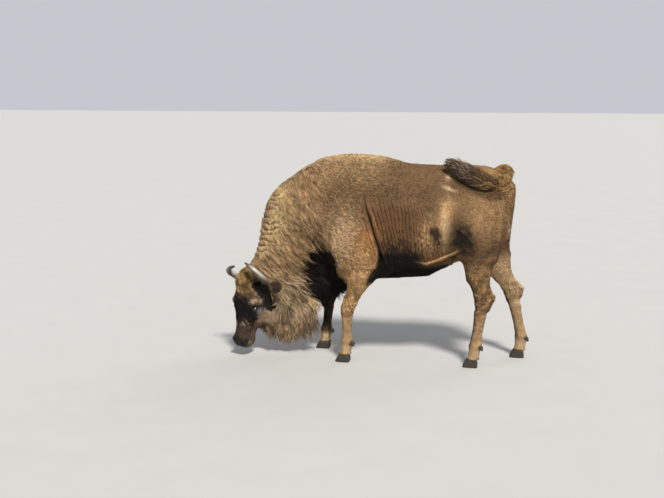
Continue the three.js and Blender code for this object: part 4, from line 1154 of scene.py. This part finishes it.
def makeTailTuft():
    line = smoothPath(tailKnots, 400)[int(400 * tuftStart) - 12:]
    t = np.linspace(0, 1, len(line))
    wide, deep = tuftRadii(t)
    _, across, over = pathFrames(line, upAxis)
    taper = 0.72 * mix(0.15, 1.0, ease(0.0, 0.12, t)) * mix(0.1, 1.0, ease(0.97, 0.7, t))
    core = sweptRings(line[::6], upAxis, (wide * taper)[::6], (deep * taper)[::6], 20)
    coreMesh = meshOf("tuftCore", tubePoints(core), tubeFaces(len(core), 20))
    paint(coreMesh, "tint", np.tile(linear(48, 39, 31), (len(coreMesh.vertices), 1)))
    paint(coreMesh, "bare", np.zeros(len(coreMesh.vertices)))
    hair = np.random.default_rng(9)
    count = tuftPlan["locks"]
    start = hair.uniform(0.0, 0.78, count)
    length = tuftPlan["length"] * hair.uniform(0.6, 1.5, count)
    end = np.minimum(start + length, hair.uniform(0.8, 1.0, count))
    turn = hair.uniform(0, 2 * np.pi, count)
    depth = hair.uniform(0.62, 0.94, count)
    stray = (hair.random(count) < 0.3) * hair.uniform(0.05, 0.4, count)
    s = mix(start[:, None], end[:, None], np.linspace(0, 1, tuftPlan["joints"] + 1)[None])
    at = s * (len(line) - 1)

    def sample(table):  # a number or a row of numbers, at each joint of each lock
        if table.ndim == 1:
            return np.interp(at, np.arange(len(line)), table)
        return np.stack([sample(column) for column in table.T], -1)

    own = (s - start[:, None]) / (end - start)[:, None]
    swing = turn[:, None] + 1.5 * (s - start[:, None]) * hair.normal(size=(count, 1))
    swing = swing + 0.1 * np.sin(2 * np.pi * (2.2 * own + hair.random((count, 1))))
    wave = 0.05 * np.sin(2 * np.pi * (1.6 * own + hair.random((count, 1))))
    reach = depth[:, None] * mix(0.9, 1.0, s) + wave + stray[:, None] * own**2 - 0.16 * (1 - own) ** 2
    a = (sample(wide) * reach * np.cos(swing))[..., None]
    b = (sample(deep) * reach * np.sin(swing))[..., None]
    middle, sideways, upward = sample(line), sample(across), sample(over)
    centres = middle + sideways * a + upward * b
    outward = unit((sideways * np.cos(swing)[..., None] + upward * np.sin(swing)[..., None])[:, 3])
    grey = ease(0.2, 1.0, outward[:, 2] + 0.6 * hair.normal(size=count)) * ease(0.25, 0.6, s[:, 3])
    tint = mix(linear(76, 60, 46), linear(166, 145, 126), grey[:, None])
    gold = ease(0.2, 0.04, start) * ease(-0.8, 0.4, hair.normal(size=count))
    gold = gold + 0.35 * (hair.random(count) < 0.08)
    band = 0.45 * drift(np.stack([6 * turn / np.pi, 0.4 * start], 1) @ np.eye(2, 3), 0.9, 66)
    tone = hair.uniform(0.6, 1.4, count) * (1 + band)
    tint = mix(tint, linear(158, 118, 72), gold[:, None]) * tone[:, None]
    spots = np.stack([0.02 + 0.96 * turn / (2 * np.pi), 0.02 + 0.96 * start], 1)
    width = tuftPlan["width"] * hair.uniform(0.7, 1.3, count)
    return coreMesh, tuftMesh("tailTuft", centres, outward, width, tint, spots)


coreMesh, tuftLocks = makeTailTuft()
show("tuftCore", coreMesh, skinFinish(), ["tail_tuft"])
show("tailTuft", tuftLocks, coatFinish("tuftHair", 0.6, 1.1, 0.6))
print("tail tuft made")


# Ears: a cupped leaf. Width follows a sine along it; the face is hollowed across it.
earPlan = {
    1: dict(root=(0.156, -0.062, 0.168), tip=(0.334, -0.006, 0.212)),
    -1: dict(root=(-0.118, -0.074, 0.15), tip=(-0.214, -0.2, 0.176)),
}


earRows, earSides = 28, 40


def makeEar(flank):
    plan = earPlan[flank]
    root, tip = fromHead(plan["root"]), fromHead(plan["tip"])
    along = unit(tip - root)
    across = unit(upAxis - along * along[2])
    out = -flank * np.cross(along, across)
    t = np.linspace(0, 1, earRows)[:, None]
    turn = np.linspace(0, -flank * 2 * np.pi, earSides, endpoint=False)[None]
    half = 0.002 + 0.048 * np.sin(np.pi * mix(0.17, 0.985, t)) ** 0.7
    cup = 0.013 * np.sin(np.pi * t) * np.sin(turn) ** 2
    deep = mix(0.01, 0.003, t) * np.sin(turn) - cup
    length = np.linalg.norm(tip - root)
    rings = root + along * (length * t)[..., None] + across * (half * np.cos(turn))[..., None]
    return tubePoints(rings + out * deep[..., None]), tubeFaces(earRows, earSides), out


def earTint(points, normals, out, flank):  # a dark hollow inside a golden-brown rim
    root, tip = (fromHead(earPlan[flank][end]) for end in ("root", "tip"))
    along = unit(tip - root)
    share = (points - root) @ along / np.linalg.norm(tip - root)
    aside = (points - root) - along * ((points - root) @ along)[:, None]
    rim = np.maximum(ease(0.036, 0.05, np.linalg.norm(aside, axis=1)), ease(0.86, 1.0, share))
    inner = ease(-0.2, 0.5, normals @ out) * (1 - rim)
    shell = mix(linear(66, 52, 38), linear(128, 99, 64), rim[:, None])
    return mix(shell, linear(20, 17, 14), inner[:, None])


flanks = ((1, "left"), (-1, "right"))
earHair = {"depth": 0.004, "length": 0.028, "width": 0.0034, "clump": 0.01, "gather": 0.2, "curl": 0.0008}
for flank, word in flanks:
    points, faces, out = makeEar(flank)
    mesh = meshOf("ear_" + word, points, faces)
    normals = normalsOf(mesh)
    paint(mesh, "tint", earTint(points, normals, out, flank))
    paint(mesh, "bare", np.zeros(len(points)))
    show("earSkin" + word.capitalize(), mesh, skinFinish(), ["ear_" + word])
    earRng = np.random.default_rng(50 + flank)
    places, ways = scatter(points, normals, faces, np.full(len(points), 40000.0), earRng)
    plan = earPlan[flank]
    along = unit(fromHead(plan["tip"]) - fromHead(plan["root"]))
    lie = unit(along + earRng.normal(0, 0.25, places.shape))
    lie = unit(lie - ways * (lie * ways).sum(1)[:, None])
    hairPlan = {key: np.full(len(places), value) for key, value in earHair.items()}
    lines, _ = centreLines(places, ways, lie, hairPlan, 2, earRng)
    tint = earTint(places, ways, out, flank) * earRng.uniform(0.7, 1.5, (len(places), 1))
    spots = unrolled(places, fromHead(plan["root"]), fromHead(plan["tip"]))
    mesh = tuftMesh("earCoat" + word.capitalize(), lines, ways, hairPlan["width"], tint, spots)
    show("earCoat" + word.capitalize(), mesh, coatFinish("earHair"))
print("ears made")


# Horns: rings round a path in head axes, thinning as (1 - t)^0.55, with low growth rings at the base.
hornPath = np.array([
    [0.106, -0.03, 0.182], [0.139, -0.026, 0.214], [0.163, 0.016, 0.238], [0.168, 0.064, 0.264],
    [0.132, 0.108, 0.306], [0.052, 0.134, 0.35],
])
hornPlan = {"tip": 0.0045, "base": 0.0248, "droop": [0, 0, 0, 0.008, 0.022, 0.04], "steps": 90, "sides": 32}


def makeHorn(flank):
    knots = hornPath.copy()
    if flank < 0:
        knots[:, 2] -= hornPlan["droop"]
    line = smoothPath(fromHead(knots * [flank, 1, 1]), hornPlan["steps"])
    t = np.linspace(0, 1, hornPlan["steps"])
    rings = 0.0007 * np.sin(2 * np.pi * 15 * t**0.8) * ease(0.62, 0.25, t)
    radius = hornPlan["tip"] + hornPlan["base"] * (1 - t) ** 0.55 + rings
    radius = radius * np.sqrt(np.clip((1.004 - t) / 0.02, 0, 1))  # a round tip
    swept = sweptRings(line, faceAxis, radius, radius * 1.1, hornPlan["sides"])
    mesh = meshOf("horn", tubePoints(swept), tubeFaces(len(line), hornPlan["sides"]))
    paint(mesh, "along", np.append(np.repeat(t, hornPlan["sides"]), [0.0, 1.0]))
    # the horn's underside painted darker: painted shade
    paint(mesh, "below", ease(0.35, -0.75, normalsOf(mesh) @ unit(upAxis - 0.5 * aheadAxis)))
    return mesh


def hornFinish():
    finish = Finish("hornSheath", Coat_Roughness=0.2, Specular_IOR_Level=0.5)
    along = finish.value("along")
    stain = finish.noise(26, 4, (1, 1, 1), 0.5)
    grain = finish.noise(120, 3, (1, 1, 4.0), 0.3)
    base = finish.steps(along + (stain - 0.5) * 0.16, [
        (0.0, linear(34, 29, 23)), (0.2, linear(74, 66, 52)), (0.36, linear(150, 146, 134)),
        (0.72, linear(164, 161, 150)), (0.88, linear(84, 78, 68)), (1.0, linear(34, 30, 27)),
    ])
    # painted shade on the horn's underside
    base = finish.between(finish.value("below") * 0.8, base, linear(48, 43, 36))
    return finish.set(
        Base_Color=finish.times(base, finish.span(grain, 0.78, 1.12)),
        Roughness=finish.span(stain, 0.28, 0.52),
        Coat_Weight=finish.span(stain, 0.1, 0.35),
        Normal=finish.bump(grain * 0.6 + stain * 0.4, 0.35, 0.002),
    )


hornMaterial = hornFinish()
for flank, word in flanks:
    show("horn" + word.capitalize(), makeHorn(flank), hornMaterial, ["horn_" + word])
print("horns made")


# Eyes: a ball with a raised cornea, and two lids that wrap it.
def eyeMesh(flank):
    centre, look, along, up = eyeFrame(flank)
    angle = np.linspace(0.02, np.pi - 0.02, eyePlan["rings"])
    turn = np.linspace(0, 2 * np.pi, eyePlan["rings"], endpoint=False) * flank
    radius = eyePlan["radius"] + 0.0012 * mound(angle, 0, 0.52)
    out = np.cos(angle)[:, None, None] * look
    ring = np.cos(turn)[None, :, None] * along + np.sin(turn)[None, :, None] * up
    rings = centre + radius[:, None, None] * (out + np.sin(angle)[:, None, None] * ring)
    mesh = meshOf("eyeball", tubePoints(rings), tubeFaces(eyePlan["rings"], eyePlan["rings"])[:, ::-1])
    paint(mesh, "angle", np.append(np.repeat(angle, eyePlan["rings"]), [0.0, np.pi]))
    return mesh


def eyeFinish():
    finish = Finish("wetEye", Specular_IOR_Level=0.7, Coat_Roughness=0.03, Roughness=0.12)
    angle = finish.value("angle")
    fibres = finish.noise(900, 2)
    iris = finish.steps(angle * 0.318 + (fibres - 0.5) * 0.02, [
        (0.0, linear(6, 5, 5)), (0.085, linear(8, 6, 5)), (0.105, linear(52, 32, 18)),
        (0.215, linear(34, 22, 14)), (0.235, linear(12, 9, 8)), (0.33, linear(58, 44, 36)),
    ])
    return finish.set(Base_Color=iris, Coat_Weight=1.0)


def lidMesh(flank):
    # a ring round the almond opening: u goes round it, v from the rim out over the ball and into the skin
    centre, look, along, up = eyeFrame(flank)
    u = np.linspace(0, 2 * np.pi, 64, endpoint=False)[None]
    v = np.linspace(0, 1, 17)[:, None]
    tall = np.where(np.sin(u) > 0, eyePlan["tall"], eyePlan["tall"] * 0.72)
    rimX, rimY = eyePlan["wide"] * np.cos(u), tall * np.sin(u) * np.sqrt(np.abs(np.sin(u)))
    outX, outY = 1.3 * np.cos(u), 1.15 * np.sin(u)
    x, y = mix(rimX, outX, v), mix(rimY, outY, v)
    spread = np.hypot(x, y)
    radius = eyePlan["radius"] + 0.0004 + eyePlan["thick"] * np.sin(np.pi * np.clip(v, 0, 1) ** 0.45) ** 0.8
    radius = radius + 0.0007 * np.sin(5 * np.pi * v) * ease(0, 0.3, v) + 0.0026 * ease(0.5, 1.0, v)
    radius = radius + 0.002 * mound(v, 0.35, 0.25) * (np.sin(u) > 0) * np.sin(u)
    out = np.cos(spread)[..., None] * look
    ring = np.sinc(spread / np.pi)[..., None] * (x[..., None] * along + y[..., None] * up)
    rings = centre + radius[..., None] * (out + ring)
    lip = centre + (eyePlan["radius"] - 0.002) * unit(rings[:1] - centre)
    skirt = centre + (eyePlan["radius"] - 0.004) * unit(rings[-1:] - centre)
    rings = np.concatenate([lip, rings, skirt])
    rows, sides = rings.shape[:2]
    i, j = np.meshgrid(np.arange(rows), np.arange(sides), indexing="ij")
    a, b = (i * sides + j).ravel(), (i * sides + (j + 1) % sides).ravel()
    c, d = (((i + 1) % rows) * sides + (j + 1) % sides).ravel(), (((i + 1) % rows) * sides + j).ravel()
    faces = np.vstack([np.stack([a, b, c], 1), np.stack([a, c, d], 1)])
    mesh = meshOf("lids", rings.reshape(-1, 3), faces)
    paint(mesh, "rim", np.repeat(np.concatenate([[0], v[:, 0], [1]]), sides))
    return mesh


def facingOut(mesh):
    shape = bmesh.new()
    shape.from_mesh(mesh)
    bmesh.ops.recalc_face_normals(shape, faces=shape.faces)
    shape.to_mesh(mesh)
    shape.free()
    return mesh


def lidFinish():
    finish = Finish("lidSkin", Specular_IOR_Level=0.4)
    wrinkle = finish.noise(300, 3, (1, 1, 2.5))
    hide = finish.steps(finish.value("rim"), [
        (0.0, linear(16, 13, 12)), (0.25, linear(30, 25, 21)),
        (0.6, linear(70, 59, 48)), (1.0, linear(34, 29, 24)),
    ])
    return finish.set(
        Base_Color=finish.times(hide, finish.span(wrinkle, 0.7, 1.25)),
        Roughness=finish.span(wrinkle, 0.42, 0.62),
        Normal=finish.bump(wrinkle, 0.5, 0.001),
    )


eyeMaterial, lidMaterial = eyeFinish(), lidFinish()
for flank, word in flanks:
    show("eye" + word.capitalize(), facingOut(eyeMesh(flank)), eyeMaterial, ["eye_" + word])
    show("lids" + word.capitalize(), facingOut(lidMesh(flank)), lidMaterial)
print("eyes made")


# Hooves: rings of a pointed oval inside the solid claw's box, sloping forward to a flat sole.
hoofSides = 36


def hoofMesh(node):
    low, high = (np.array(corner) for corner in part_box(node))
    z = np.array([1.0, 0.985, 0.93, 0.82, 0.68, 0.52, 0.36, 0.2, 0.07, 0.015, 0.0])
    front = mix(0.155, 0.0, ease(0, 1, 1 - z) ** 0.8) + 0.012 * np.sin(z * 24) * (z > 0.1) * (z < 0.9)
    back = np.interp(z, [0, 0.47, 1], [0.97, 0.985, 0.985])
    pinch = np.interp(z, [0, 0.012, 0.07, 0.45, 0.93, 1.0], [0.955, 0.98, 1.0, 0.96, 0.84, 0.72])
    turn = np.linspace(0, 2 * np.pi, hoofSides, endpoint=False)
    x = mix(back[:, None], front[:, None], (1 - np.cos(turn))[None] / 2)
    side = np.sign(np.sin(turn)) * np.abs(np.sin(turn)) ** 0.75 * (1 - 0.2 * (1 - np.cos(turn)))
    y = 0.5 + 0.47 * side[None] * pinch[:, None] * np.ones_like(x)
    x = mix(0.5, x, pinch[:, None])
    ring = np.stack([x, y, np.broadcast_to(z[:, None], x.shape)], -1)
    rings = low + ring * (high - low)
    return facingOut(meshOf(node, tubePoints(rings), tubeFaces(len(z), hoofSides)))


def hoofFinish():
    finish = Finish("hoofHorn", Specular_IOR_Level=0.45)
    bands = finish.noise(30, 3, (0.6, 0.6, 7.0), 0.2)
    dust = finish.noise(60, 4)
    base = finish.between(finish.span(dust, 0.0, 0.7), linear(26, 22, 19), linear(74, 63, 50))
    return finish.set(
        Base_Color=finish.times(base, finish.span(bands, 0.6, 1.3)),
        Roughness=finish.span(dust, 0.42, 0.72),
        Normal=finish.bump(bands * 0.7 + dust * 0.3, 0.5, 0.002),
    )


hoofMaterial = hoofFinish()
for node in sorted(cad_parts):
    if node.startswith("hoof_"):
        show(node.replace("hoof_", "claw_"), hoofMesh(node), hoofMaterial, [node])
    if node.startswith("dewclaw_"):
        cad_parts[node].data.materials.clear()
        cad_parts[node].data.materials.append(hoofMaterial)
print("hooves made")


# Floor, light and camera.
floorPlan = {"half": 60.0, "tone": (0.36, 0.355, 0.345)}
half = floorPlan["half"]
floorCorners = np.array([[-half, -half, 0], [half, -half, 0], [half, half, 0], [-half, half, 0]])
floorMesh = meshOf("floor", floorCorners, [[0, 1, 2, 3]])
floorFinish = Finish("paleFloor", Roughness=0.9)
grit = floorFinish.noise(3.0, 4)
floorTone = floorFinish.times(floorPlan["tone"], floorFinish.span(grit, 0.96, 1.04))
floorMesh.materials.append(floorFinish.set(Base_Color=floorTone))
floor = bpy.data.objects.new("floor", floorMesh)
bpy.context.scene.collection.objects.link(floor)

lightPlan = {
    "key": dict(way=(-0.28, 0.6, -0.82), power=5.3, spread=10.0, tone=(1.0, 0.965, 0.91)),
    "back": dict(way=(-0.55, -0.75, -0.62), power=0.55, spread=30.0, tone=(1.0, 0.98, 0.95)),
}
for name, plan in lightPlan.items():
    lamp = bpy.data.lights.new(name, "SUN")
    lamp.energy, lamp.angle, lamp.color = plan["power"], math.radians(plan["spread"]), plan["tone"]
    light = bpy.data.objects.new(name, lamp)
    bpy.context.scene.collection.objects.link(light)
    way = unit(np.array(plan["way"]))
    light.location = -6 * way
    light.rotation_euler = (math.acos(-way[2]), 0, math.atan2(way[1], way[0]) - math.pi / 2)

skyPlan = {"Color": (0.9, 0.94, 1.0, 1), "Strength": 0.62}
world = bpy.data.worlds.new("studio")
world.use_nodes = True
backdrop = next(n for n in world.node_tree.nodes if n.type == "BACKGROUND")
for key, value in skyPlan.items():
    backdrop.inputs[key].default_value = value
bpy.context.scene.world = world
bpy.context.scene.view_settings.view_transform = "Standard"

viewPlan = {"azimuth": 10.0, "down": 9.6, "lens": 54.22, "at": (0.99, -7.584, 2.148)}
lens = bpy.data.cameras.new("camera")
lens.lens, lens.sensor_width, lens.clip_end = viewPlan["lens"], 36.0, 200.0
camera = bpy.data.objects.new("camera", lens)
camera.location = viewPlan["at"]
camera.rotation_euler = (math.radians(90 - viewPlan["down"]), 0, math.radians(viewPlan["azimuth"]))
bpy.context.scene.collection.objects.link(camera)
bpy.context.scene.camera = camera

bpy.context.view_layer.update()
print("scene ready")
